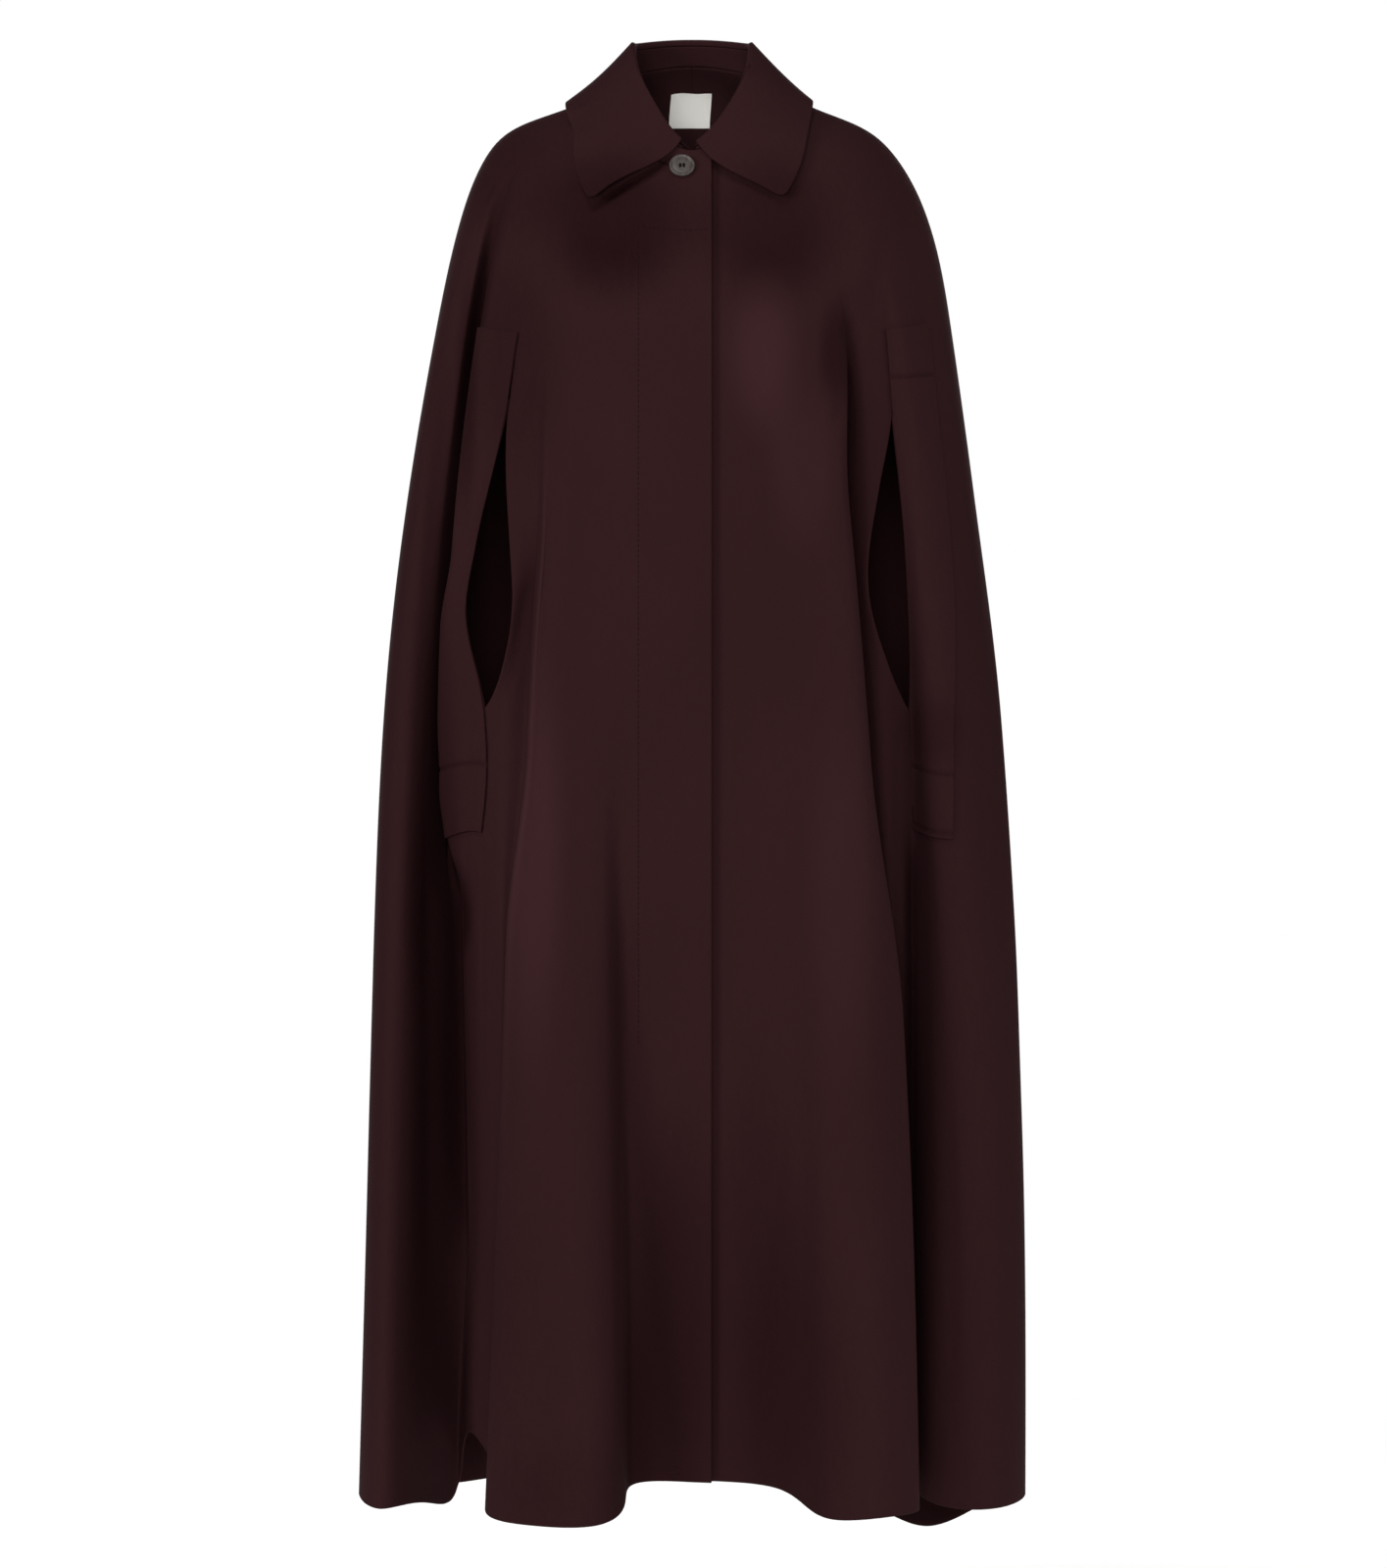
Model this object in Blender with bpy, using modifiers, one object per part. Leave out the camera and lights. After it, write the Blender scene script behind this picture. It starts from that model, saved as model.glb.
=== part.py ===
"""Long wool cape, hollow as when worn. Metres, +Z up, front to -Y, +X the wearer's left.

The origin is the middle of the neck at the height of the shoulders, where the wearer carries the cape.
"""

import math

import bpy
import numpy as np
from mathutils import Matrix

CLOTH = 0.0024           # double-faced wool coating
SEAM_GAP = 0.0003        # between two sewn pieces
SEAM_STRIP = 0.0015      # narrow column beside a seam, so that the walls on its two sides stay parallel
SQUARENESS = 0.04        # how far the plain section is squarer than an ellipse

FRONT_EDGE_X = 0.0170    # edge of the right front, which laps over
UNDER_EDGE_X = -0.0360   # edge of the left front, which laps under
UNDER_STEP = 0.0062      # how far the left front lies behind the right one
UNDER_FADE_X = 0.1000    # where that step has faded out

COLLAR_LIFT = 0.0032     # underside of the fall above the body
ROLL_INSIDE = 0.0010     # radius of the roll's inside, where the fall turns over
ROLL_END = 50.0          # degrees at which the roll ends and the leaf begins
STAND_LEAN = -0.42       # lean of the stand towards the neck, for each metre of rise
LEAF_SAG = 0.4           # 0 lets the leaf down evenly from the roll, 1 holds it up until near its edge

WELT_WIDTH = 0.0450
WELT_THICKNESS = 0.0022
WELT_GAP = 0.0004        # under the welt
WELT_TOP = 0.2900        # falls from the neck seam of the welt's and the slit's ends
SLIT_TOP = 0.3600
SLIT_BOTTOM = 0.6320
WELT_BOTTOM = 0.7560
HEM = 1.3230

BUTTON_X = -0.0086
BUTTON_FALL = 0.0405
BUTTON_RADIUS = 0.0110
BUTTON_THICKNESS = 0.0036
BUTTON_RIM = 0.0026
BUTTON_DISH = 0.0009
BUTTON_HOLE_RADIUS = 0.0010
BUTTON_HOLE_PITCH = 0.0042

LABEL_WIDTH = 0.0360
LABEL_TOP = 0.0400
LABEL_BOTTOM = 0.0890
LABEL_THICKNESS = 0.0006

WOOL_COLOUR = (0.0280, 0.0092, 0.0108, 1)
HORN_COLOUR = (0.0740, 0.0550, 0.0470, 1)
SATIN_COLOUR = (0.7200, 0.7000, 0.6400, 1)
WOOL_ROUGHNESS = 0.9
HORN_ROUGHNESS = 0.4
SATIN_ROUGHNESS = 0.5

# How finely each panel is divided.
PANEL_BREAKS = (0, LABEL_TOP, LABEL_BOTTOM, 0.20, WELT_TOP, SLIT_TOP, SLIT_BOTTOM, WELT_BOTTOM, HEM)
PANEL_ROWS = (2, 2, 6, 2, 1, 6, 3, 6)
FRONT_COLUMNS = 20               # from the centre edge to the slit
WELT_COLUMNS = 4
SIDE_COLUMNS = 8                 # from the welt to the side seam
BACK_COLUMNS = 18
LABEL_COLUMNS = 2                # in half the label
COLLAR_STATIONS = 60
STAND_ROWS = 2
ROLL_ROWS = 3
FALL_ROWS = 6
BUTTON_STEPS = 32
BUTTON_HOLE_SIDES = 10

# The body with no folds: a row for each section from the neck down.
SECTION_COLUMNS = ("fall", "half_width", "front", "back", "z_front", "z_side", "z_back", "shift")
SECTIONS = {
    "neck seam":     (0.000, 0.0630, 0.0840, 0.060, -0.0560, 0.0220, 0.0380, 0.0000),
    "under collar":  (0.034, 0.0900, 0.0920, 0.080, -0.0700, 0.0000, 0.0220, 0.0000),
    "yoke":          (0.079, 0.1340, 0.1005, 0.098, -0.0880, -0.0185, -0.0040, -0.0020),
    "shoulder":      (0.121, 0.1680, 0.1075, 0.110, -0.1070, -0.0380, -0.0360, -0.0020),
    "shoulder end":  (0.155, 0.1880, 0.1125, 0.117, -0.1270, -0.0660, -0.0740, 0.0000),
    "upper arm":     (0.200, 0.2050, 0.1175, 0.121, -0.1580, -0.1080, -0.1200, 0.0020),
    "chest":         (0.295, 0.2250, 0.1250, 0.124, -0.2320, -0.2000, -0.2100, 0.0015),
    "slit":          (0.410, 0.2430, 0.1300, 0.127, -0.3260, -0.3140, -0.3200, -0.0005),
    "waist":         (0.587, 0.2650, 0.1345, 0.133, -0.4920, -0.4900, -0.4900, -0.0010),
    "hip":           (0.788, 0.2785, 0.1370, 0.141, -0.6900, -0.6900, -0.6900, 0.0010),
    "knee":          (1.048, 0.2880, 0.1370, 0.150, -0.9500, -0.9500, -0.9500, 0.0030),
    "hem":           (HEM, 0.2927, 0.1360, 0.158, -1.2245, -1.2245, -1.2245, 0.0000),
}

# The hem's plan: a row for each crest, edge or valley, clockwise seen from above, from the front.
# bearing is where its line leaves the plain body, begins the height where it starts to form, and
# growth the power of the drop by which it deepens.
FOLD_COLUMNS = ("bearing", "hem_x", "hem_y", "drop", "begins", "growth")
FOLDS = {
    "centre front":        (0.0, 0.0050, -0.076, -0.0240, -0.45, 1.2),
    "right fold foot":     (11.0, -0.0480, -0.080, -0.0210, -0.45, 1.2),
    "right fold inner":    (15.0, -0.0580, -0.112, -0.0100, -0.45, 1.2),
    "right crest inner":   (19.5, -0.0880, -0.154, 0.0000, -0.40, 1.2),
    "right crest outer":   (25.0, -0.1350, -0.156, 0.0000, -0.28, 1.1),
    "right fold outer":    (30.5, -0.1760, -0.112, -0.0040, -0.22, 1.0),
    "right fold back":     (32.5, -0.1700, -0.058, -0.0200, -0.22, 1.0),
    "right slit":          (40.0, -0.1840, 0.000, -0.0450, -0.28, 1.1),
    "right welt lip":      (49.0, -0.1985, 0.032, -0.0420, -0.40, 1.1),
    "right valley":        (54.5, -0.2060, 0.054, -0.0100, -0.06, 1.0),
    "right roll wall":     (62.0, -0.2340, 0.000, -0.0040, -0.10, 1.1),
    "right roll crest":    (74.0, -0.2700, -0.042, 0.0000, -0.20, 1.2),
    "right side":          (90.0, -0.2927, 0.012, 0.0000, -0.30, 1.2),
    "right back roll":     (111.0, -0.2640, 0.105, 0.0060, -0.30, 1.2),
    "right back crest":    (126.0, -0.2050, 0.170, 0.0120, -0.30, 1.2),
    "right back valley":   (141.0, -0.1350, 0.112, -0.0050, -0.25, 1.1),
    "back crest right":    (158.0, -0.0750, 0.180, 0.0120, -0.30, 1.2),
    "centre back":         (180.0, 0.0040, 0.150, 0.0080, -0.35, 1.2),
    "back crest left":     (201.0, 0.0800, 0.183, 0.0120, -0.30, 1.2),
    "left back valley":    (219.0, 0.1400, 0.108, 0.0100, -0.25, 1.1),
    "left back crest":     (234.0, 0.2120, 0.165, 0.0520, -0.30, 1.2),
    "left back roll":      (249.0, 0.2670, 0.105, 0.0200, -0.30, 1.2),
    "left side":           (270.0, 0.2927, 0.010, 0.0000, -0.30, 1.2),
    "left roll crest":     (290.0, 0.2520, -0.058, 0.0020, -0.25, 1.2),
    "left roll wall":      (308.0, 0.2030, -0.046, -0.0040, -0.20, 1.1),
    "left slit":           (314.8, 0.1840, 0.010, -0.0200, -0.16, 1.0),
    "left fold back":      (325.8, 0.1750, -0.040, -0.0120, -0.18, 0.8),
    "left fold outer":     (327.0, 0.1945, -0.088, -0.0040, -0.18, 0.9),
    "left crest outer":    (331.5, 0.1640, -0.138, -0.0040, -0.25, 1.1),
    "left crest inner":    (337.0, 0.1250, -0.146, -0.0040, -0.35, 1.2),
    "left fold inner":     (341.0, 0.0930, -0.112, -0.0120, -0.40, 1.2),
    "left fold foot":      (347.0, 0.0600, -0.082, -0.0210, -0.40, 1.2),
}

# The two arm slits: the row of FOLDS that each follows, and how far its edges are drawn aside.
SLIT_COLUMNS = ("fold", "front_gape", "side_gape", "sag")
SLITS = {
    "right": ("right slit", 0.018, 0.015, 1.20),
    "left":  ("left slit", 0.019, 0.008, 1.15),
}

# The collar: a row for each station from the right front end round the back to the left one.
COLLAR_COLUMNS = ("roll_bearing", "stand", "edge_bearing", "edge_fall")
COLLAR = {
    "right end":    (8.0, 0.0050, 27.4, 0.138),
    "right front":  (32.0, 0.0180, 44.0, 0.082),
    "right neck":   (56.0, 0.0200, 61.0, 0.061),
    "right side":   (90.0, 0.0230, 90.0, 0.052),
    "right back":   (135.0, 0.0215, 135.0, 0.048),
    "centre back":  (180.0, 0.0200, 180.0, 0.046),
    "left back":    (225.0, 0.0215, 225.0, 0.046),
    "left side":    (270.0, 0.0230, 270.0, 0.048),
    "left neck":    (304.0, 0.0200, 298.0, 0.058),
    "left front":   (332.0, 0.0170, 317.0, 0.084),
    "left end":     (357.0, 0.0050, 334.6, 0.136),
}


def column(table, names, wanted):
    """One named column of a table, as an array."""
    place = names.index(wanted)
    return np.array([row[place] for row in table.values()])


def spline(knots, values, at):
    """Smooth curve through the values at the knots."""
    count = len(knots)
    step = np.diff(knots)
    slope = np.diff(values) / step
    system = np.eye(count)
    right = np.zeros(count)
    for i in range(1, count - 1):
        system[i, i - 1:i + 2] = step[i - 1], 2 * (step[i - 1] + step[i]), step[i]
        right[i] = 6 * (slope[i] - slope[i - 1])
    bend = np.linalg.solve(system, right)
    at = np.asarray(at, float)
    k = np.clip(np.searchsorted(knots, at) - 1, 0, count - 2)
    b = (at - knots[k]) / step[k]
    a = 1 - b
    curve = (a ** 3 - a) * bend[k] + (b ** 3 - b) * bend[k + 1]
    return a * values[k] + b * values[k + 1] + curve * step[k] ** 2 / 6


def rising(knots, values, at):
    """Curve through rising values that never turns back."""
    step = np.diff(knots)
    slope = np.diff(values) / step
    before = 2 * step[1:] + step[:-1]
    after = step[1:] + 2 * step[:-1]
    middle = (before + after) / (before / slope[:-1] + after / slope[1:])
    tangent = np.concatenate([slope[:1], middle, slope[-1:]])
    k = np.clip(np.searchsorted(knots, at) - 1, 0, len(knots) - 2)
    b = (at - knots[k]) / step[k]
    a = 1 - b
    ends = a * a * (1 + 2 * b) * values[k] + b * b * (1 + 2 * a) * values[k + 1]
    return ends + a * b * step[k] * (a * tangent[k] - b * tangent[k + 1])


def eased(x):
    """Soft step from 0 to 1."""
    x = np.clip(x, 0, 1)
    return x * x * (3 - 2 * x)


def hem_distances():
    """Distance along the hem of each row of FOLDS, and the whole way round."""
    x = column(FOLDS, FOLD_COLUMNS, "hem_x")
    y = column(FOLDS, FOLD_COLUMNS, "hem_y")
    chord = np.hypot(np.roll(x, -1) - x, np.roll(y, -1) - y)
    return np.concatenate(([0], np.cumsum(chord)[:-1])), chord.sum()


ALONG, GIRTH = hem_distances()


def fold_at(along, wanted):
    """A column of FOLDS at distances along the hem, which may run past either end."""
    values = column(FOLDS, FOLD_COLUMNS, wanted)
    knots = np.concatenate([ALONG - GIRTH, ALONG, ALONG + GIRTH])
    if wanted == "bearing":
        return rising(knots, np.concatenate([values - 360, values, values + 360]), along)
    values = np.concatenate([values, values, values])
    if wanted in ("begins", "growth"):
        k = np.clip(np.searchsorted(knots, along) - 1, 0, len(knots) - 2)
        way = eased((along - knots[k]) / (knots[k + 1] - knots[k]))
        return values[k] + (values[k + 1] - values[k]) * way
    return spline(knots, values, along)


def along_of(name):
    """Distance along the hem of one row of FOLDS."""
    return ALONG[list(FOLDS).index(name)]


def plain_body(bearing, fall):
    """Points of the body with no folds."""
    angle = np.radians(bearing)
    cos = np.cos(angle)
    knots = column(SECTIONS, SECTION_COLUMNS, "fall")
    row = {}
    for name in SECTION_COLUMNS[1:]:
        row[name] = spline(knots, column(SECTIONS, SECTION_COLUMNS, name), fall)
    full = 1 + SQUARENESS * np.sin(2 * angle) ** 2
    x = row["shift"] - row["half_width"] * np.sin(angle) * full
    y = -np.where(cos > 0, row["front"], row["back"]) * cos * full
    z = row["z_side"] + (np.where(cos > 0, row["z_front"], row["z_back"]) - row["z_side"]) * cos ** 2
    return np.stack([x, y, z], axis=-1)


def body(along, fall):
    """Points of the cloth's outer face at distances along the hem and falls from the neck seam."""
    along, fall = np.broadcast_arrays(np.asarray(along, float), np.asarray(fall, float))
    bearing = fold_at(along, "bearing")
    plain = plain_body(bearing, fall)
    plain_hem = plain_body(bearing, np.full_like(fall, HEM))
    begins = fold_at(along, "begins")
    drop = np.clip((begins - plain[..., 2]) / (begins - plain_hem[..., 2]), 0, 1)
    growth = drop ** fold_at(along, "growth")
    shift_x = fold_at(along, "hem_x") - plain_hem[..., 0]
    shift_y = fold_at(along, "hem_y") - plain_hem[..., 1]
    shift = np.stack([shift_x, shift_y, -fold_at(along, "drop")], axis=-1)
    return plain + growth[..., None] * shift


def outward(along, fall):
    """Unit normals of the outer face."""
    step = 0.002
    across = body(along + step, fall) - body(along - step, fall)
    down = body(along, np.minimum(fall + step, HEM)) - body(along, np.maximum(fall - step, 0))
    normal = np.cross(across, down)
    return normal / np.linalg.norm(normal, axis=-1, keepdims=True)


def along_at_x(x, fall):
    """Distance along the hem of the front line that keeps to one x, at one fall."""
    near = np.linspace(-0.16, 0.16, 161)
    return np.interp(-x, -body(near, fall)[:, 0], near)


def along_at_bearing(bearing):
    """Distance along the hem of a bearing on the plain body."""
    dense = np.linspace(-0.2, GIRTH + 0.2, 2400)
    return np.interp(bearing, fold_at(dense, "bearing"), dense)


def new_object(name, mesh, material):
    """A smooth-shaded object of one material among the cape's pieces."""
    mesh.shade_smooth()
    mesh.materials.append(material)
    thing = bpy.data.objects.new(name, mesh)
    CAPE.objects.link(thing)
    return thing


def new_shell(name, points, thickness, material, cut=None):
    """Open grid of points made into a closed wall; cut is (column, first row, last row, other points)."""
    rows, columns = points.shape[:2]
    verts = [tuple(point) for point in points.reshape(-1, 3)]
    index = np.arange(rows * columns).reshape(rows, columns)
    right_index = index.copy()
    if cut:
        at, first, last, other = cut
        for row in range(first + 1, last):
            right_index[row, at] = len(verts)
            verts.append(tuple(other[row]))
    faces = []
    for row in range(rows - 1):
        for col in range(columns - 1):
            left = right_index if cut and col == cut[0] else index
            faces.append((left[row, col], index[row, col + 1], index[row + 1, col + 1], left[row + 1, col]))
    mesh = bpy.data.meshes.new(name)
    mesh.from_pydata(verts, [], [tuple(int(i) for i in face) for face in faces])
    mesh.validate()
    shell = new_object(name, mesh, material)
    wall = shell.modifiers.new("wall", "SOLIDIFY")
    wall.thickness = abs(thickness)
    wall.offset = -1 if thickness > 0 else 1
    wall.use_even_offset = True
    return shell


def panel_falls():
    """Rows that all four panels share, so that their seams match."""
    pairs = zip(PANEL_BREAKS, PANEL_BREAKS[1:], PANEL_ROWS)
    return np.concatenate([np.linspace(a, b, n, endpoint=False) for a, b, n in pairs] + [[HEM]])


def row_of(fall):
    """Number of the row at one of the breaks."""
    return sum(PANEL_ROWS[:PANEL_BREAKS.index(fall)])


def hem_per_metre(along, fall):
    """Distance along the hem that one metre across the cloth takes at each fall."""
    step = 0.004
    across = body(along + step, fall) - body(along - step, fall)
    return 2 * step / np.linalg.norm(across, axis=-1)


def along_after(start, fall, sign, across):
    """Distances along the hem of points that lie some way across the cloth from a start, at one fall."""
    dense = start + sign * np.linspace(0, 0.2, 101)
    steps = np.linalg.norm(np.diff(body(dense, fall), axis=0), axis=1)
    return np.interp(across, np.concatenate([[0], np.cumsum(steps)]), dense)


def beside_seam(name, sign, falls):
    """Distances along the hem of a panel's edge column at a seam and of the narrow one before it."""
    per_metre = hem_per_metre(along_of(name), falls)
    edge = along_of(name) + sign * SEAM_GAP / 2 * per_metre
    return np.stack([edge, edge + sign * SEAM_STRIP * per_metre], axis=1)


def slit_edges(side, falls):
    """Distances along the hem of the slit's two edges and of the welt's columns, at each fall."""
    slit = dict(zip(SLIT_COLUMNS, SLITS[side]))
    line = along_of(slit["fold"])
    share = np.clip((falls - SLIT_TOP) / (SLIT_BOTTOM - SLIT_TOP), 0, 1)
    gape = np.sin(math.pi * share ** slit["sag"]) * hem_per_metre(line, falls)
    sign = 1 if side == "right" else -1
    front = line - sign * slit["front_gape"] * gape
    outer = line + sign * slit["side_gape"] * gape
    across = np.linspace(0, WELT_WIDTH, WELT_COLUMNS + 1)
    welt_falls = np.clip(falls, WELT_TOP, WELT_BOTTOM)
    welt = [along_after(start, fall, sign, across) for start, fall in zip(outer, welt_falls)]
    return front, np.stack(welt)


def lap_under(points, along, fall):
    """The left front stepped back where the right one laps over it."""
    share = eased((UNDER_FADE_X - points[..., 0]) / (UNDER_FADE_X - FRONT_EDGE_X))
    share = np.where(points[..., 1] < 0, share, 0)
    return points - outward(along, fall) * (UNDER_STEP * share)[..., None]


def build_front(name, side):
    """A front from its centre edge to its side seam, cut through by the arm slit."""
    falls = panel_falls()
    cut = row_of(SLIT_TOP), row_of(SLIT_BOTTOM)
    if side == "right":
        edge = np.array([along_at_x(FRONT_EDGE_X, fall) for fall in falls])
        seam = beside_seam("right side", -1, falls)
    else:
        edge = np.array([along_at_x(UNDER_EDGE_X, fall) for fall in falls]) + GIRTH
        seam = beside_seam("left side", 1, falls)
    slit_front, welt = slit_edges(side, falls)
    inner = edge[:, None] + (slit_front - edge)[:, None] * np.linspace(0, 1, FRONT_COLUMNS + 1)
    outer = welt[:, -1:] + (seam[:, 1:] - welt[:, -1:]) * np.linspace(0, 1, SIDE_COLUMNS + 1)[1:]
    outer = np.concatenate([welt, outer, seam[:, :1]], axis=1)
    fall = falls[:, None]
    inner_points = body(inner, fall)
    outer_points = body(outer, fall)
    if side == "right":
        points = np.concatenate([inner_points, outer_points[:, 1:]], axis=1)
        return new_shell(name, points, CLOTH, WOOL, (FRONT_COLUMNS, *cut, outer_points[:, 0]))
    inner_points = lap_under(inner_points, inner, fall)
    points = np.concatenate([outer_points[:, ::-1], inner_points[:, -2::-1]], axis=1)
    return new_shell(name, points, CLOTH, WOOL, (outer.shape[1] - 1, *cut, inner_points[:, -1]))


def build_welt(name, side):
    """A band laid on the front along the slit's outer edge, made from the front's own points."""
    falls = panel_falls()[row_of(WELT_TOP):row_of(WELT_BOTTOM) + 1]
    columns = slit_edges(side, falls)[1]
    if side == "left":
        columns = columns[:, ::-1]
    fall = falls[:, None]
    points = body(columns, fall) + outward(columns, fall) * WELT_GAP
    return new_shell(name, points, -WELT_THICKNESS, WOOL)


def label_columns(falls):
    """Distances along the hem, each side of the centre-back seam, of the columns that the label takes."""
    per_metre = hem_per_metre(along_of("centre back"), falls)
    return per_metre[:, None] * np.linspace(0, LABEL_WIDTH / 2, LABEL_COLUMNS + 1)


def build_back(name, seam, sign):
    """A back from the centre-back seam to its side seam."""
    falls = panel_falls()
    middle = along_of("centre back")
    near = middle + sign * label_columns(falls)[:, 1:]
    far = beside_seam(seam, -sign, falls)
    rest = near[:, -1:] + (far[:, 1:] - near[:, -1:]) * np.linspace(0, 1, BACK_COLUMNS + 1)[1:]
    along = np.concatenate([beside_seam("centre back", sign, falls), near, rest, far[:, :1]], axis=1)
    if sign < 0:
        along = along[:, ::-1]
    return new_shell(name, body(along, falls[:, None]), CLOTH, WOOL)


def build_label(name):
    """A bare label on the inner face of the two backs, made from their points."""
    falls = panel_falls()[row_of(LABEL_TOP):row_of(LABEL_BOTTOM) + 1]
    half = label_columns(falls)
    along = along_of("centre back") + np.concatenate([-half[:, :0:-1], half], axis=1)
    fall = falls[:, None]
    points = body(along, fall) - outward(along, fall) * (CLOTH + SEAM_GAP)
    return new_shell(name, points, LABEL_THICKNESS, SATIN)


def collar_at(wanted, station):
    """A column of COLLAR at stations from 0 to 1."""
    values = column(COLLAR, COLLAR_COLUMNS, wanted)
    return spline(np.linspace(0, 1, len(values)), values, station)


def collar_frame(station):
    """Neck seam, direction in which the stand rises, and direction square to it out of the neck."""
    along = along_at_bearing(collar_at("roll_bearing", station))
    seam = body(along, 0 * along)
    radial = seam * (1, 1, 0)
    radial = radial / np.linalg.norm(radial, axis=-1, keepdims=True)
    rise = radial * STAND_LEAN + (0, 0, 1)
    rise = rise / np.linalg.norm(rise, axis=-1, keepdims=True)
    out = radial - rise * np.sum(radial * rise, axis=-1, keepdims=True)
    return seam, rise, out / np.linalg.norm(out, axis=-1, keepdims=True)


def build_stand(name):
    """The band between the neck seam and the roll of the collar."""
    station = np.linspace(0, 1, COLLAR_STATIONS + 1)
    seam, rise, _ = collar_frame(station)
    height = collar_at("stand", station) - SEAM_STRIP - 2 * SEAM_GAP
    height = np.linspace(1, 0, STAND_ROWS + 1)[:, None] * height + SEAM_GAP
    return new_shell(name, seam[None] + rise[None] * height[..., None], CLOTH, WOOL)


def build_fall(name):
    """The leaf from the roll of the collar down to its outer edge and its two points."""
    station = np.linspace(0, 1, COLLAR_STATIONS + 1)
    seam, rise, out = collar_frame(station)
    centre = seam + rise * collar_at("stand", station)[:, None] + out * ROLL_INSIDE
    radius = CLOTH + ROLL_INSIDE
    turns = np.radians(np.linspace(180, ROLL_END, ROLL_ROWS + 1))[:, None, None]
    roll = centre + (out * np.cos(turns) + rise * np.sin(turns)) * radius
    way = np.linspace(0, 1, FALL_ROWS + 1)[1:, None]
    start = collar_at("roll_bearing", station)
    along = along_at_bearing(start + (collar_at("edge_bearing", station) - start) * way)
    fall = collar_at("edge_fall", station) * way
    settle = ((1 - LEAF_SAG) * way + LEAF_SAG * way ** 2)[..., None]
    lie = outward(along, fall) * (COLLAR_LIFT + CLOTH)
    leaf = body(along, fall) + (roll[-1] - seam) * (1 - settle) + lie * settle
    first = roll[:1] - rise * SEAM_STRIP
    return new_shell(name, np.concatenate([first, roll, leaf]), CLOTH, WOOL)


def build_button(name):
    """A round button with a rim, a dished face and four holes, lying on the right front."""
    fall = BUTTON_FALL
    along = along_at_x(BUTTON_X, fall)
    seat = body(along, fall)
    normal = outward(along, fall)
    dish = BUTTON_THICKNESS - BUTTON_DISH
    profile = [
        (0, 0),
        (BUTTON_RADIUS * 0.82, 0),
        (BUTTON_RADIUS, BUTTON_THICKNESS * 0.45),
        (BUTTON_RADIUS, BUTTON_THICKNESS * 0.75),
        (BUTTON_RADIUS - BUTTON_RIM * 0.4, BUTTON_THICKNESS),
        (BUTTON_RADIUS - BUTTON_RIM, BUTTON_THICKNESS - BUTTON_DISH * 0.4),
        (BUTTON_RADIUS - BUTTON_RIM * 1.5, dish),
        (0, dish),
    ]
    mesh = bpy.data.meshes.new(name)
    mesh.from_pydata([(r, 0, z) for r, z in profile], [(i, i + 1) for i in range(len(profile) - 1)], [])
    button = new_object(name, mesh, HORN)
    turned = button.modifiers.new("turned", "SCREW")
    turned.steps = turned.render_steps = BUTTON_STEPS
    turned.use_merge_vertices = True
    turned.merge_threshold = 0.00001
    turned.use_normal_calculate = True
    for i, (across, up) in enumerate(((-1, -1), (1, -1), (1, 1), (-1, 1))):
        hole = cutter(f"hole_{i}", (across * BUTTON_HOLE_PITCH / 2, up * BUTTON_HOLE_PITCH / 2), button)
        drilled = button.modifiers.new(f"drilled_{i}", "BOOLEAN")
        drilled.object = hole
        drilled.solver = "EXACT"
    place(button, seat + normal * SEAM_GAP, normal)
    return button


def cutter(name, centre, parent):
    """A thin rod that drills one hole of the button."""
    ring = [(centre[0] + BUTTON_HOLE_RADIUS * math.cos(a), centre[1] + BUTTON_HOLE_RADIUS * math.sin(a))
            for a in np.linspace(0, 2 * math.pi, BUTTON_HOLE_SIDES, endpoint=False)]
    verts = [(x, y, z) for z in (-BUTTON_THICKNESS, 2 * BUTTON_THICKNESS) for x, y in ring]
    count = len(ring)
    faces = [tuple(range(count))[::-1], tuple(range(count, 2 * count))]
    faces += [(i, (i + 1) % count, count + (i + 1) % count, count + i) for i in range(count)]
    mesh = bpy.data.meshes.new(name)
    mesh.from_pydata(verts, [], faces)
    rod = bpy.data.objects.new(name, mesh)
    CUTTERS.objects.link(rod)
    rod.parent = parent
    rod.hide_render = True
    rod.display_type = "WIRE"
    return rod


def place(thing, seat, normal):
    """Set an object on a seat with its own +Z along the normal and its +Y as far up as it goes."""
    side = np.cross((0, 0, 1), normal)
    side = side / np.linalg.norm(side)
    up = np.cross(normal, side)
    frame = np.eye(4)
    frame[:3, 0], frame[:3, 1], frame[:3, 2], frame[:3, 3] = side, up, normal, seat
    thing.matrix_world = Matrix(frame.tolist())


def new_collection(name):
    """A collection of the scene."""
    collection = bpy.data.collections.new(name)
    bpy.context.scene.collection.children.link(collection)
    return collection


def new_material(name, colour, roughness):
    """A plain material, none of them a metal."""
    material = bpy.data.materials.new(name)
    material.use_nodes = True
    shader = material.node_tree.nodes["Principled BSDF"]
    shader.inputs["Base Color"].default_value = colour
    shader.inputs["Roughness"].default_value = roughness
    shader.inputs["Metallic"].default_value = 0
    return material


for thing in list(bpy.data.objects):
    bpy.data.objects.remove(thing)

CAPE = new_collection("cape")
CUTTERS = new_collection("cutters")
WOOL = new_material("brushed wool", WOOL_COLOUR, WOOL_ROUGHNESS)
HORN = new_material("horn", HORN_COLOUR, HORN_ROUGHNESS)
SATIN = new_material("satin", SATIN_COLOUR, SATIN_ROUGHNESS)

build_front("front_right", "right")
build_front("front_left", "left")
build_back("back_right", "right side", -1)
build_back("back_left", "left side", 1)
build_stand("collar_stand")
build_fall("collar_fall")
build_welt("arm_welt_right", "right")
build_welt("arm_welt_left", "left")
build_button("button")
build_label("neck_label")
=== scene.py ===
"""A long wool cape, hollow as when worn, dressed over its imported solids.

Metres, +Z up, front to -Y, +X the wearer's left. The origin is the middle of the neck at shoulder height.
"""

import math

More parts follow.
